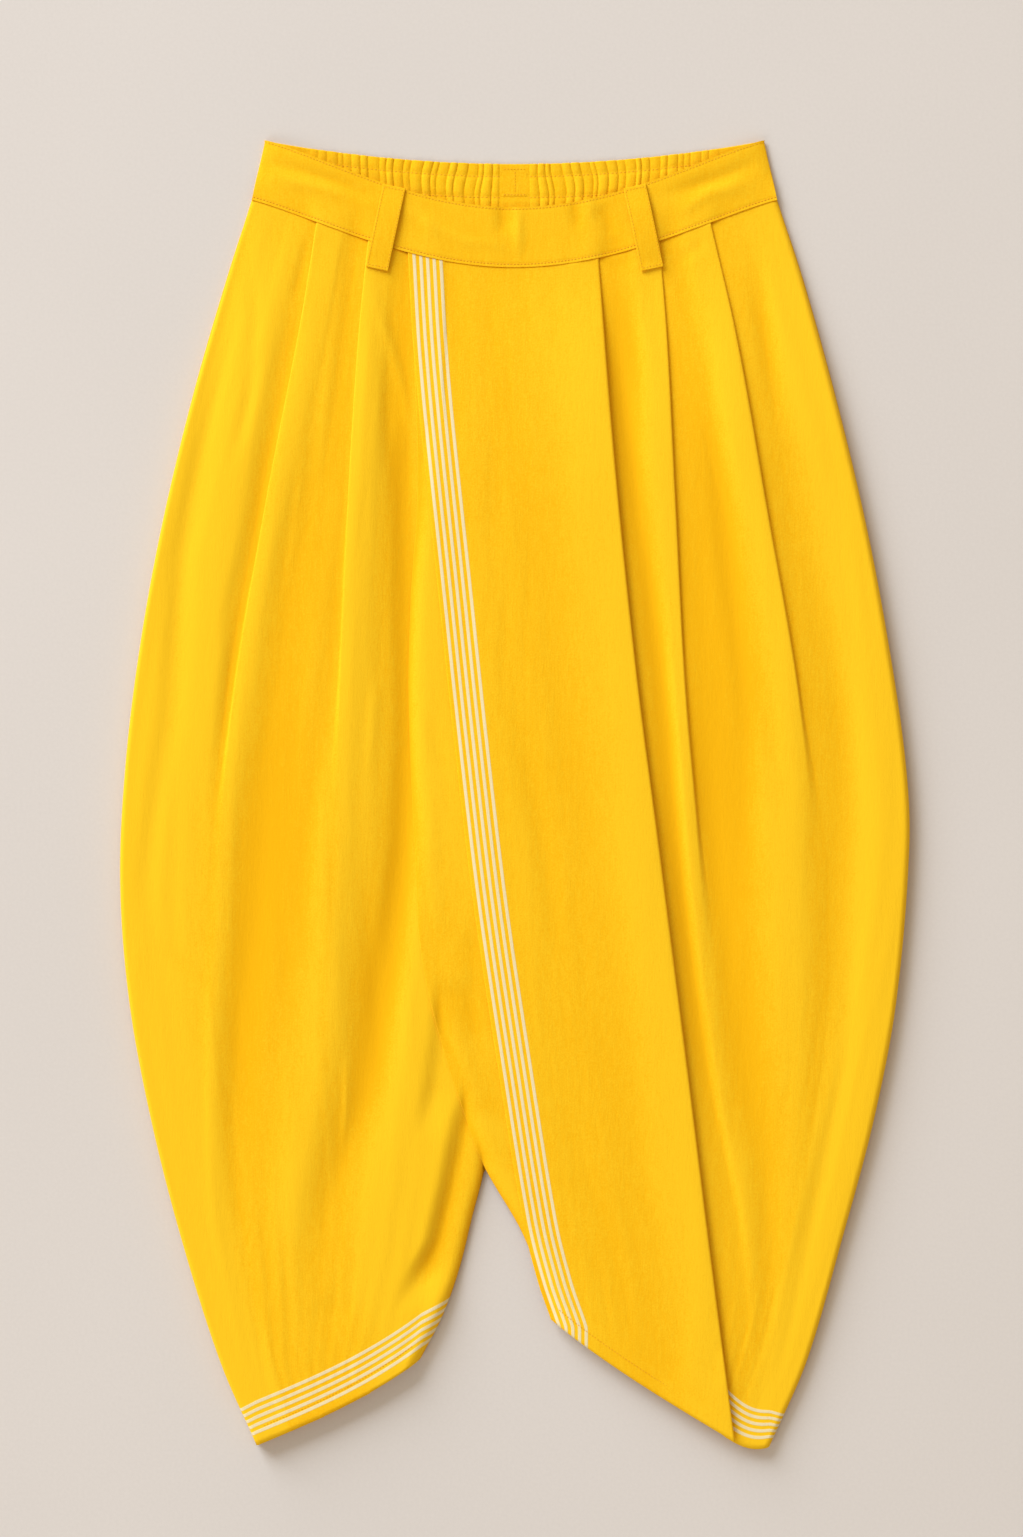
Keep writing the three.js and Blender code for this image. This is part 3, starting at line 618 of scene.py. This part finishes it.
def cloth_piece(node, points, material, distances=None, thick=CLOTH, rounding=0):
    """A sheet of cloth in the place of a CAD node. Half its wall lies on each side of the points."""
    name = node + "_cloth"
    made = piece(name, cloth_mesh(name, points, distances), material, node)
    wall = made.modifiers.new("wall", "SOLIDIFY")
    wall.thickness = thick * MM
    wall.offset = 0
    if rounding:
        edge = made.modifiers.new("rounded edges", "BEVEL")
        edge.width = rounding * MM
        edge.segments = 3
        edge.limit_method = "ANGLE"
        edge.angle_limit = math.radians(50)
    return made


# Shader maths
class Value:
    """A socket that adds Math nodes when it is used in an expression."""

    def __init__(self, shader, socket):
        self.shader = shader
        self.socket = socket

    def _with(self, operation, *others):
        return self.shader.math(operation, self, *others)

    def __add__(self, other):
        return self._with("ADD", other)

    def __sub__(self, other):
        return self._with("SUBTRACT", other)

    def __rsub__(self, other):
        return self.shader.math("SUBTRACT", other, self)

    def __mul__(self, other):
        return self._with("MULTIPLY", other)

    def __truediv__(self, other):
        return self._with("DIVIDE", other)

    __radd__ = __add__
    __rmul__ = __mul__

    def sin(self):
        return self._with("SINE")

    def abs(self):
        return self._with("ABSOLUTE")


class Shader:
    """A material and its nodes."""

    def __init__(self, name):
        self.material = bpy.data.materials.new(name)
        self.material.use_nodes = True
        self.tree = self.material.node_tree
        self.surface = self.tree.nodes["Principled BSDF"]

    def node(self, kind, settings=None, output=0, **inputs):
        """A node of any kind. Its inputs are named, or numbered after an underscore."""
        made = self.tree.nodes.new(kind)
        for key, value in (settings or {}).items():
            setattr(made, key, value)
        for key, value in inputs.items():
            self.feed(made.inputs[int(key[1:])] if key[0] == "_" else made.inputs[key], value)
        return Value(self, made.outputs[output])

    def feed(self, socket, value):
        if isinstance(value, Value):
            self.tree.links.new(value.socket, socket)
        else:
            socket.default_value = value

    def math(self, operation, *values):
        inputs = {f"_{spot}": value for spot, value in enumerate(values)}
        return self.node("ShaderNodeMath", {"operation": operation}, **inputs)

    def between(self, value, low, high):
        """0 below low, 1 above high, smooth between."""
        settings = {"interpolation_type": "SMOOTHSTEP"}
        return self.node("ShaderNodeMapRange", settings, Value=value, _1=low, _2=high, _3=0.0, _4=1.0)

    def blend(self, share, a, b):
        return self.node("ShaderNodeMix", {"data_type": "RGBA"}, 2, _0=share, _6=a, _7=b)

    def attribute(self, name):
        return self.node("ShaderNodeAttribute", {"attribute_name": name}, 2)

    def noise(self, place, scale, detail=3.0, rough=0.55):
        sizes = {"Scale": scale, "Detail": detail, "Roughness": rough}
        return self.node("ShaderNodeTexNoise", None, 0, Vector=place, **sizes)

    def stretched(self, place, scale):
        """The coordinates scaled along each axis."""
        return self.node("ShaderNodeMapping", None, 0, Vector=place, Scale=scale)


def linear(red, green, blue):
    """A colour from its values in the photo, 0 to 255."""
    parts = [c / 255 for c in (red, green, blue)]
    return tuple(c / 12.92 if c <= 0.04045 else ((c + 0.055) / 1.055) ** 2.4 for c in parts) + (1.0,)


# The deep and pale yellows also paint shade into the folds' troughs and highlight onto their crests
YELLOW = linear(241, 185, 13)
DEEP_YELLOW_AND_PAINTED_SHADE = linear(237, 170, 0)
PALE_YELLOW_AND_PAINTED_HIGHLIGHT = linear(245, 199, 36)
CREAM = linear(229, 213, 168)
STRIPE_COUNT = 5
STRIPE_PITCH = 5.1
STRIPE_HALF = 1.2
BORDER_EDGE = 2.5  # from the middle of the first and last stripe to the end of the border
RIB = 0.75 * MM  # from one rib of the twill to the next
RIB_HEADING = (0.64, 0.77)


def twill(name, border=None, first=0.0):
    """Yellow cotton twill. border names the attribute by which its cream stripes are measured."""
    shader = Shader(name)
    place = shader.node("ShaderNodeTexCoord", None, 3)
    clouds = shader.noise(place, 9.0, 4.0)
    mottle = shader.noise(shader.stretched(place, (330.0, 70.0, 200.0)), 1.0, 4.0, 0.65)
    grain = shader.noise(place, 900.0, 2.0)
    slubs_down = shader.noise(shader.stretched(place, (1500.0, 120.0, 600.0)), 1.0, 2.0)
    slubs_across = shader.noise(shader.stretched(place, (140.0, 1500.0, 600.0)), 1.0, 2.0)
    x = shader.node("ShaderNodeSeparateXYZ", None, 0, Vector=place)
    y = Value(shader, x.socket.node.outputs[1])
    rib = ((x * RIB_HEADING[0] + y * RIB_HEADING[1]) * (2 * math.pi / RIB)).sin() * 0.5 + 0.5
    # Painted shade and highlight: the cloth is coloured deeper below its surroundings and paler above them
    painted_shade_and_highlight = shader.attribute("relief_for_painted_shade") * (0.16 / MM)
    slubs = slubs_down + slubs_across
    tone = clouds * 0.25 + mottle * 0.45 + slubs * 0.15 + (grain - 0.5) * 0.9 + painted_shade_and_highlight
    colour = shader.blend(shader.between(tone, 0.2, 0.8), DEEP_YELLOW_AND_PAINTED_SHADE, PALE_YELLOW_AND_PAINTED_HIGHLIGHT)
    colour = shader.blend(0.45, colour, YELLOW)
    height = rib * 0.3 + slubs * 0.6 + mottle
    if border:
        inward = shader.attribute(border) * (1 / MM)
        phase = (inward - first) / STRIPE_PITCH + 0.5
        wave = shader.math("FRACT", phase) - 0.5
        band = shader.between(wave.abs() * STRIPE_PITCH, STRIPE_HALF + 0.25, STRIPE_HALF - 0.25)
        start = first - BORDER_EDGE
        end = first + (STRIPE_COUNT - 1) * STRIPE_PITCH + BORDER_EDGE
        beyond_first = shader.between(inward, start - 0.1, start + 0.1)
        before_last = shader.between(inward, end + 0.1, end - 0.1)
        stripe = band * beyond_first * before_last
        colour = shader.blend(stripe, colour, CREAM)
        height = height + stripe * 0.8
    shader.feed(shader.surface.inputs["Base Color"], colour)
    shader.feed(shader.surface.inputs["Roughness"], mottle * 0.14 + 0.8)
    bump = shader.node("ShaderNodeBump", None, 0, Strength=0.55, Distance=0.00035, Height=height)
    shader.feed(shader.surface.inputs["Normal"], bump)
    shader.surface.inputs["Specular IOR Level"].default_value = 0.1
    shader.surface.inputs["Sheen Weight"].default_value = 0.02
    shader.surface.inputs["Sheen Roughness"].default_value = 0.5
    return shader.material


def thread(name, colour):
    """Spun thread with darker flecks."""
    shader = Shader(name)
    place = shader.node("ShaderNodeTexCoord", None, 3)
    fleck = shader.noise(place, 900.0, 2.0)
    darker = tuple(0.8 * c for c in colour[:3]) + (1.0,)
    shader.feed(shader.surface.inputs["Base Color"], shader.blend(fleck, darker, colour))
    shader.surface.inputs["Roughness"].default_value = 0.6
    shader.surface.inputs["Specular IOR Level"].default_value = 0.3
    return shader.material


plain_twill = twill("yellow twill")
wrap_twill = twill("yellow twill with border down the selvedge", "from_selvedge", 4.7)
right_twill = twill("yellow twill with border along the right hem", "from_hem", 9.4)
left_twill = twill("yellow twill with border along the left hem", "from_hem", 8.9)
yellow_thread = thread("yellow thread", linear(240, 170, 14))


# Front panels
FAN_MIDDLE = 187  # where fanned stripes keep their distance from the hem


def hem_distance(points, hem, slope, fan=0.0):
    """Distance of each point from the hem, measured square to it. Past its ends the hem's line runs straight
    on, and fan brings the stripes closer together towards +X."""
    x = points[..., 0]
    ends = sorted((hem["inner"][0], hem["outer"][0]))
    away = points[..., 1] - hem_y(hem, x) - slope * (x - np.clip(x, *ends))
    return away * math.cos(math.atan(slope)) * (1 + np.clip(fan * (x - FAN_MIDDLE), -0.25, 0.25))


right_grid = front_points(RIGHT_FRONT, right_height, 240)
from_hem = {"from_hem": hem_distance(right_grid, HEMS["right"], 0.52)}
right_front = cloth_piece("right_front", right_grid, right_twill, from_hem)

left_grid = front_points(LEFT_FRONT, left_height, 240)
from_hem = {"from_hem": hem_distance(left_grid, HEMS["left"], -0.1, 0.008)}
left_front = cloth_piece("left_front", left_grid, left_twill, from_hem)

# Wrap panel, which turns back under itself at its outer edge
TURN_BACK = 24
WRAP_SECTION = np.array([
    # inset from the fold, layer
    (TURN_BACK + 36, 0.02), (TURN_BACK + 30, 0.1), (TURN_BACK + 24, 0.24), (TURN_BACK + 18, 0.42),
    (TURN_BACK + 12, 0.6), (TURN_BACK + 6, 0.77), (TURN_BACK, 0.9), (TURN_BACK * 0.7, 0.98),
    (TURN_BACK * 0.4, 1), (4, 1), (1.6, 1), (0.7, 0.98), (0.2, 0.8), (0, 0.5), (0.2, 0.2),
    (0.7, 0.02), (1.6, 0), (5, 0), (TURN_BACK * 0.5, 0), (TURN_BACK, 0),
])


def wrap_points(rows):
    """Rows of middle points of the wrap, from its selvedge round the fold to the turned-back edge."""
    v = np.linspace(0, 1, rows)[:, None]
    start_x, _ = spread(WRAP, 0 * v, v)
    end_x, end_y = spread(WRAP, 0 * v + 1, v)
    wide = end_x - start_x
    pitch = mix(PRESSED, WRAP_LOFTED, smooth(seam_y(end_x) - end_y, 0, 90))
    flat = mix(wide, TURN_BACK + 42, np.linspace(0, 1, 70))
    inset = np.concatenate([flat, WRAP_SECTION[:, 0] + 0 * v], axis=1)
    layer = np.concatenate([0 * flat, WRAP_SECTION[:, 1] + 0 * v], axis=1)
    x, y = spread(WRAP, 1 - inset / wide, v)
    return np.stack([x, y, wrap_height(x, y) + layer * pitch], axis=-1)


wrap_grid = wrap_points(240)
from_selvedge = {"from_selvedge": wrap_grid[..., 0] - wrap_selvedge(wrap_grid[..., 1])}
wrap_panel = cloth_piece("wrap_panel", wrap_grid, wrap_twill, from_selvedge)

# Back panels, flat on the surface and sewn together down the middle
CROTCH = (-20.0, -287.0)
CENTRE_TOP = 438.0
BACK_TOP = 437.5  # upper end of a back's inner edge, just inside the band
SEAM_GAP = 0.3


def centre_back(y):
    """The centre-back seam, from the middle of the waist to the crotch."""
    return np.where(y > CROTCH[1], CROTCH[0] * (CENTRE_TOP - y) / (CENTRE_TOP - CROTCH[1]), 0)


def back_points(side, rows=120, columns=60):
    """Rows of middle points of a back, flat but for small pleats below the elastic."""
    v = np.linspace(0, 1, rows)[:, None]
    u = np.linspace(0, 1, columns)[None]
    outer_top = SEAM_Y - 1
    y_outer = mix(outer_top, -500 if side < 0 else -501.4, v)
    hem = HEMS["right" if side < 0 else "left"]
    y_inner = mix(BACK_TOP, hem["inner"][1] + 1, v)
    inner_leg = right_inner(y_inner) - 0.5 if side < 0 else np.maximum(left_inner(y_inner) + 2, CROTCH[0])
    x_inner = np.where(y_inner > CROTCH[1], centre_back(y_inner) + side * SEAM_GAP / 2, inner_leg)
    x_outer = side * (right_side(y_outer) if side < 0 else left_side(y_outer))
    x = mix(x_inner, x_outer, u)
    y = mix(y_inner, y_outer, u)
    top = back_top_y(x * WAIST_HALF / SEAM_HALF) - BAND_WIDTH - 0.4
    y = y + (top - mix(BACK_TOP, outer_top, u)) * (1 - v) ** 6
    end = hem_y(hem, x) + 0.6
    y = y + (end - mix(hem["inner"][1] + 1, y_outer[-1:], u)) * v**6
    lift = 0.5 * np.maximum(ripples(x, y, 34, 41 + side), 0) ** 2 * smooth(y, 330, 430)
    return np.stack([x, y, CLOTH / 2 + lift], axis=-1)


right_back = cloth_piece("right_back", back_points(-1)[:, ::-1], plain_twill)
left_back = cloth_piece("left_back", back_points(1), plain_twill)


# Front band with its buckles
def smoothed(values, times):
    """The rows of values, each evened out with its neighbours, without moving the ends."""
    for _ in range(times):
        middle = (values[:-2] + 2 * values[1:-1] + values[2:]) / 4
        values = np.concatenate([values[:1], middle, values[-1:]])
    return values


BAND_BUCKLES = [
    (5, -1.3, [(-195, 486), (-168, 479), (-140, 470), (-106, 456)]),
    (5, 0.8, [(-190, 474), (-160, 468), (-128, 458)]),
    (4, 0.45, [(-90, 452), (-40, 424), (-4, 421)]),
    (6, -1.2, [(188, 485), (157, 472), (116, 459)]),
    (5, 0.7, [(178, 468), (150, 462), (124, 444)]),
    (6, -1.2, [(-10, 456), (-8, 440), (-9, 428)]),
    (3.5, 0.8, [(3, 452), (3, 432), (3, 412)]),
    (5, -0.9, [(45, 456), (48, 444), (50, 432)]),
    (4, 0.5, [(56, 460), (58, 450), (58, 440)]),
    (6, -1.0, [(66, 452), (72, 440), (76, 428)]),
    (6, 0.5, [(-70, 444), (-66, 436), (-62, 424)]),
]


def sewn_cloth_top():
    """Top of the cloth that is sewn into the band, at even steps along the seam."""
    steps = np.arange(-SEAM_HALF, SEAM_HALF + 1, 2)
    tops = np.full(len(steps), LYING)
    for grid in (right_grid, left_grid, wrap_grid):
        x, y, z = grid.reshape(-1, 3).T
        near = np.abs(y - seam_y(x)) < 3
        spots = np.clip(np.rint((x[near] + SEAM_HALF) / 2).astype(int), 0, len(steps) - 1)
        np.maximum.at(tops, spots, z[near] + CLOTH / 2)
    return steps, smoothed(np.maximum(tops, np.maximum(np.roll(tops, 1), np.roll(tops, -1))), 8)


SEAM_STEPS, SEAM_TOPS = sewn_cloth_top()
BAND_ROWS = {0.95: 0.3, 0.035: 0.15}  # how far down the band it is sewn: how deep the stitches sink


def band_height(x, y):
    above = np.clip((y - seam_y(x)) / BAND_WIDTH, 0, 1)
    half = mix(SEAM_HALF, WAIST_HALF, above)
    sewn = np.interp(x, SEAM_STEPS, SEAM_TOPS) + BAND_OVER_SEAM
    rise = mix(sewn, mix(LYING + 0.6, BAND_MIDDLE, roll(half - np.abs(x), 40)), smooth(above, 0, 0.6))
    own = crease_height(x, y, BAND_BUCKLES) * 1.2 + 0.22 * ripples(x, y, 40, 57)
    return rise + own * roll(half - np.abs(x), 12)


def band_place(across, down):
    """A point of the front band, from -1 to 1 across it and a share of the way down."""
    x = across * mix(WAIST_HALF, SEAM_HALF, down)
    return x, mix(front_top_y(across * WAIST_HALF), seam_y(across * SEAM_HALF), down)


def band_points(columns=300):
    near_top, near_seam = (0, 0.008, 0.02, 0.035), (0.925, 0.945, 0.96, 0.975, 0.988, 1)
    down = np.array([*near_top, *np.linspace(0.06, 0.9, 20), *near_seam])[:, None]
    x, y = band_place(np.sin(np.pi / 2 * np.linspace(-1, 1, columns)), down)
    z = band_height(x, y)
    for row, deep in BAND_ROWS.items():
        z = z - deep * np.exp(-(((down - row) * BAND_WIDTH / 0.7) ** 2))
    return np.stack([x, y, z], axis=-1)


front_band = cloth_piece("front_band", band_points(), plain_twill, thick=BAND_THICK, rounding=0.55)

# Back band, gathered by its elastic between rows of stitching
TAB = {"wide": 19, "tall": 22.5, "top": 481.6}
BESIDE_TAB = TAB["wide"] / 2 + 1.5
UNGATHERED = 34  # flat part of the band at each side
GATHERS = 22
ELASTIC_ROWS = (9.4, 25.6, 41.8)  # rows of stitches, from the upper edge down


def gather_places(side):
    """Valleys between the gathers on one side of the tab, going outwards."""
    i = np.arange(GATHERS)
    widths = 1 + 0.3 * np.sin(2.4 * i + 0.4 * side) + 0.16 * np.sin(5.1 * i)
    reach = WAIST_HALF - UNGATHERED - BESIDE_TAB
    return BESIDE_TAB + np.concatenate([[0], np.cumsum(widths)]) / widths.sum() * reach


def back_band_points(columns=760, rows=44):
    """Rows of middle points of the back band. Its gathers are arches, pinched in at the elastic's rows."""
    x = np.linspace(-WAIST_HALF, WAIST_HALF, columns)[None]
    down = np.linspace(0, BAND_WIDTH, rows)[:, None]
    z = np.where(np.abs(x) < BESIDE_TAB, 0.75, 0) + np.zeros((rows, columns))
    pinch = np.ones((rows, 1))
    for row in ELASTIC_ROWS:
        pinch = pinch * (1 - 0.35 * np.exp(-(((down - row) / 2.2) ** 2)))
    for side in (-1, 1):
        valleys = gather_places(side)
        away = side * x + 1.4 * np.sin(down / 7.0 + side * x / 23) * smooth(np.abs(x), 8, 30)
        spot = np.clip(np.searchsorted(valleys, away) - 1, 0, GATHERS - 1)
        share = np.clip((away - valleys[spot]) / (valleys[spot + 1] - valleys[spot]), 0, 1)
        tall = (1.3 + 0.35 * np.sin(1.7 * spot)) * (1 - 0.45 * smooth(away, 110, 158))
        inside = (away > valleys[0]) & (away < valleys[-1])
        z += np.where(inside, tall * np.sin(np.pi * share) ** 0.42, 0)
    z = z * pinch
    spread_x = x * mix(1, SEAM_HALF / WAIST_HALF, down / BAND_WIDTH)
    scallop = 0.12 * z * (1 - smooth(down, 0, 5))
    return np.stack([spread_x, back_top_y(x) - down + scallop, 0.45 + z], axis=-1)


band_grid = back_band_points()
back_band = cloth_piece("back_band", band_grid, plain_twill)


def tab_points():
    x = np.linspace(-TAB["wide"] / 2, TAB["wide"] / 2, 16)[None]
    y = np.linspace(TAB["top"], TAB["top"] - TAB["tall"], 18)[:, None]
    z = 1.3 + 0.12 * ripples(x + 0 * y, y + 0 * x, 14, 71) - 0.12 * np.exp(-((x / 0.6) ** 2))
    return np.stack([x + 0 * y, y + 0 * x, z], axis=-1)


back_tab = cloth_piece("back_tab", tab_points(), plain_twill, thick=0.4, rounding=0.12)

# Belt loops
LOOP = {"wide": 17.5, "long": 65, "thick": 1.5, "tilt": 12, "x": 99, "y": 434.3}
# Height of a loop's middle at shares of its length, from its upper end
LOOP_ALONG = (0, 0.05, 0.09, 0.17, 0.28, 0.5, 0.66, 0.78, 0.88, 0.93, 1)
LOOP_HEIGHT = (7.8, 7.8, 8.0, 8.6, 9.4, 9.8, 9.6, 9.2, 8.6, 8.4, 8.4)


def loop_place(side, across, along):
    """A point of a loop's middle, from its width and its length, both 0 in the middle."""
    turn = math.radians(side * LOOP["tilt"])
    height = np.interp(0.5 - along / LOOP["long"], LOOP_ALONG, LOOP_HEIGHT)
    x = side * LOOP["x"] + across * math.cos(turn) - along * math.sin(turn)
    y = LOOP["y"] + across * math.sin(turn) + along * math.cos(turn)
    return np.stack([x, y, height], axis=-1)


def loop_points(side, rows=64, columns=15):
    """Rows of middle points of a loop, sunk a little along its stitches."""
    half = LOOP["wide"] / 2
    across = np.linspace(-half, half, columns)[None] + np.zeros((rows, 1))
    along = np.linspace(LOOP["long"] / 2, -LOOP["long"] / 2, rows)[:, None] + np.zeros((1, columns))
    points = loop_place(side, across, along)
    points[..., 2] = smoothed(points[..., 2], 6)
    points[..., 2] -= 0.2 * np.exp(-(((half - 1.9 - np.abs(across)) / 0.7) ** 2))
    return points


LOOP_NAMES = {-1: "right_belt_loop", 1: "left_belt_loop"}
loops = {side: loop_points(side) for side in LOOP_NAMES}
belt_loops = {
    side: cloth_piece(name, loops[side], plain_twill, thick=LOOP["thick"], rounding=0.4)
    for side, name in LOOP_NAMES.items()
}

# Stitches: thread that dips into the cloth between one stitch and the next
STEPS = 7  # in the path of one stitch


def thread_run(form, path, pitch=2.6, radius=0.28, dip=0.55):
    """A sewn line along a path of surface points."""
    lengths = np.concatenate([[0], np.cumsum(np.linalg.norm(np.diff(path, axis=0), axis=1))])
    count = max(int(lengths[-1] / pitch), 1)
    steps = np.linspace(0, lengths[-1], count * STEPS + 1)
    line = np.stack([np.interp(steps, lengths, path[:, k]) for k in range(3)], axis=-1)
    phase = np.arange(len(steps)) % STEPS / STEPS
    line[:, 2] += radius * 0.5 - dip * (np.cos(2 * np.pi * phase) > 0.3)
    heading = np.gradient(line[:, :2], axis=0)
    heading /= np.linalg.norm(heading, axis=1)[:, None]
    around = 5
    made = bmesh.ops.create_grid(form, x_segments=around, y_segments=len(line) - 1, size=1)
    for vert in made["verts"]:
        turn = math.pi * (vert.co.x + 1) / 2 * 1.3 - 0.15 * math.pi
        i = round((1 - vert.co.y) / 2 * (len(line) - 1))
        sideways = -radius * math.cos(turn)
        vert.co = (
            (line[i, 0] + sideways * heading[i, 1]) * MM,
            (line[i, 1] - sideways * heading[i, 0]) * MM,
            (line[i, 2] + radius * math.sin(turn)) * MM,
        )


def stitches(name, paths, **sizes):
    """A piece of several sewn lines."""
    form = bmesh.new()
    for path in paths:
        thread_run(form, path, **sizes)
    bmesh.ops.recalc_face_normals(form, faces=form.faces)
    mesh = finished(form, name)
    mesh.shade_smooth()
    return piece(name, mesh, yellow_thread)


def along_band(down):
    """A line on the front band, at a share of the way down it."""
    x, y = band_place(np.sin(np.pi / 2 * np.linspace(-0.985, 0.985, 400)), down)
    return np.stack([x, y, band_height(x, y) + BAND_THICK / 2 - 0.2], axis=-1)


band_stitches = stitches("front_band_stitches", [along_band(row) for row in BAND_ROWS])


def loop_lines(side):
    """Lines beside both edges of a loop and across both its ends."""
    grid = loops[side]
    lift = np.array([0, 0, LOOP["thick"] / 2 - 0.12])
    long_lines = [grid[2:-2, k] + lift for k in (1, 13)]
    cross_lines = [grid[k, 1:-1] + lift for k in (2, -3)]
    return long_lines + cross_lines


loop_stitches = {
    side: stitches(name + "_stitches", loop_lines(side), pitch=2.3, radius=0.24)
    for side, name in LOOP_NAMES.items()
}


def along_hem(hem, height, inset, low, high, count=160):
    """A line on a panel, an inset above part of its hem."""
    share = np.linspace(low, high, count)
    x, y = hem_point(hem, share)
    slope = np.gradient(y) / np.gradient(x)
    y = y + inset * np.sqrt(1 + slope**2)
    return np.stack([x, y, height(x, y) + CLOTH / 2], axis=-1)


hem_paths = {
    "wrap_hem_stitches": along_hem(HEMS["wrap"], wrap_height, 10, 0.04, 0.86),
    "right_hem_stitches": along_hem(HEMS["right"], right_height, 12.4, 0.05, 0.96),
}
hem_stitches = {name: stitches(name, [path], radius=0.24, dip=0.5) for name, path in hem_paths.items()}


# Elastic rows on the back band, and the tab's stitches
def elastic_line(down):
    """Lines along a row of the elastic, on both sides of the tab."""
    line = band_grid[round(down / BAND_WIDTH * (len(band_grid) - 1))]
    beside_tab = TAB["wide"] / 2 + 1
    return [part + [0, 0, 0.2] for part in (line[line[:, 0] < -beside_tab], line[line[:, 0] > beside_tab])]


elastic_runs = [run for down in ELASTIC_ROWS for run in elastic_line(down)]
elastic_stitches = stitches("elastic_stitches", elastic_runs, pitch=3.2, radius=0.3, dip=0.6)
tab_x = TAB["wide"] / 2 - 0.8
tab_paths = []
for y in (TAB["top"] - 1.4, TAB["top"] - TAB["tall"] + 1.4):
    tab_paths.append(np.array([(x, y, 1.52) for x in np.linspace(-tab_x, tab_x, 20)]))
down_tab = np.linspace(TAB["top"] - 3, TAB["top"] - TAB["tall"] + 3, 20)
tab_paths.append(np.array([(0.4, y, 1.45) for y in down_tab]))
tab_stitches = stitches("back_tab_stitches", tab_paths, pitch=2.2, radius=0.24)


# Surface, light and camera
def floor_material():
    shader = Shader("pale studio surface")
    place = shader.node("ShaderNodeTexCoord", None, 3)
    grain = shader.noise(place, 420.0, 3.0)
    clouds = shader.noise(place, 2.0, 2.0)
    tone = shader.between(grain * 0.5 + clouds * 0.5, 0.2, 0.8)
    colour = shader.blend(tone, linear(205, 199, 194), linear(211, 205, 200))
    shader.feed(shader.surface.inputs["Base Color"], colour)
    shader.feed(shader.surface.inputs["Roughness"], grain * 0.1 + 0.85)
    shader.surface.inputs["Specular IOR Level"].default_value = 0.15
    return shader.material


form = bmesh.new()
bmesh.ops.create_grid(form, x_segments=8, y_segments=8, size=4)
for vert in form.verts:
    vert.co.z = -0.0002
surface = placed("surface", finished(form, "surface"))
surface.data.materials.append(floor_material())

CAMERA_AIM = (-0.0023, 0.0189)
FRAME_HIGH = PHOTO_HIGH * MM_PER_PIXEL * MM
LENS = 85
SENSOR = 36
lens = bpy.data.cameras.new("camera")
lens.lens = LENS
lens.sensor_width = SENSOR
lens.clip_end = 20
camera = placed("camera", lens)
camera.location = (*CAMERA_AIM, FRAME_HIGH * LENS / SENSOR)
bpy.context.scene.camera = camera


def lamp(name, power, size, place, colour=(1, 1, 1)):
    """A square soft light that faces the garment."""
    light = bpy.data.lights.new(name, "AREA")
    light.energy = power
    light.size = size
    light.color = colour
    made = placed(name, light)
    made.location = place
    made.rotation_euler = (-made.location).to_track_quat("-Z", "Y").to_euler()


# A low key from the upper left, in warm light all round, which makes the shade golden
LIGHT_FAR = 12
LIGHT_LIFT = math.radians(26)
LIGHT_ACROSS, LIGHT_ALONG = -0.62, 0.785
flat_reach = LIGHT_FAR * math.cos(LIGHT_LIFT)
key_place = (LIGHT_ACROSS * flat_reach, LIGHT_ALONG * flat_reach, LIGHT_FAR * math.sin(LIGHT_LIFT))
lamp("key", 2195, 8, key_place, colour=(0.82, 0.9, 1))
lamp("fill", 158, 4, (-4.5, -5.5, 4.5))
world = bpy.data.worlds.new("studio")
world.use_nodes = True
all_round = world.node_tree.nodes["Background"].inputs
all_round["Color"].default_value = (1, 0.84, 0.64, 1)
all_round["Strength"].default_value = 0.56
bpy.context.scene.world = world
bpy.context.scene.view_settings.view_transform = "Standard"
bpy.context.scene.view_settings.look = "None"
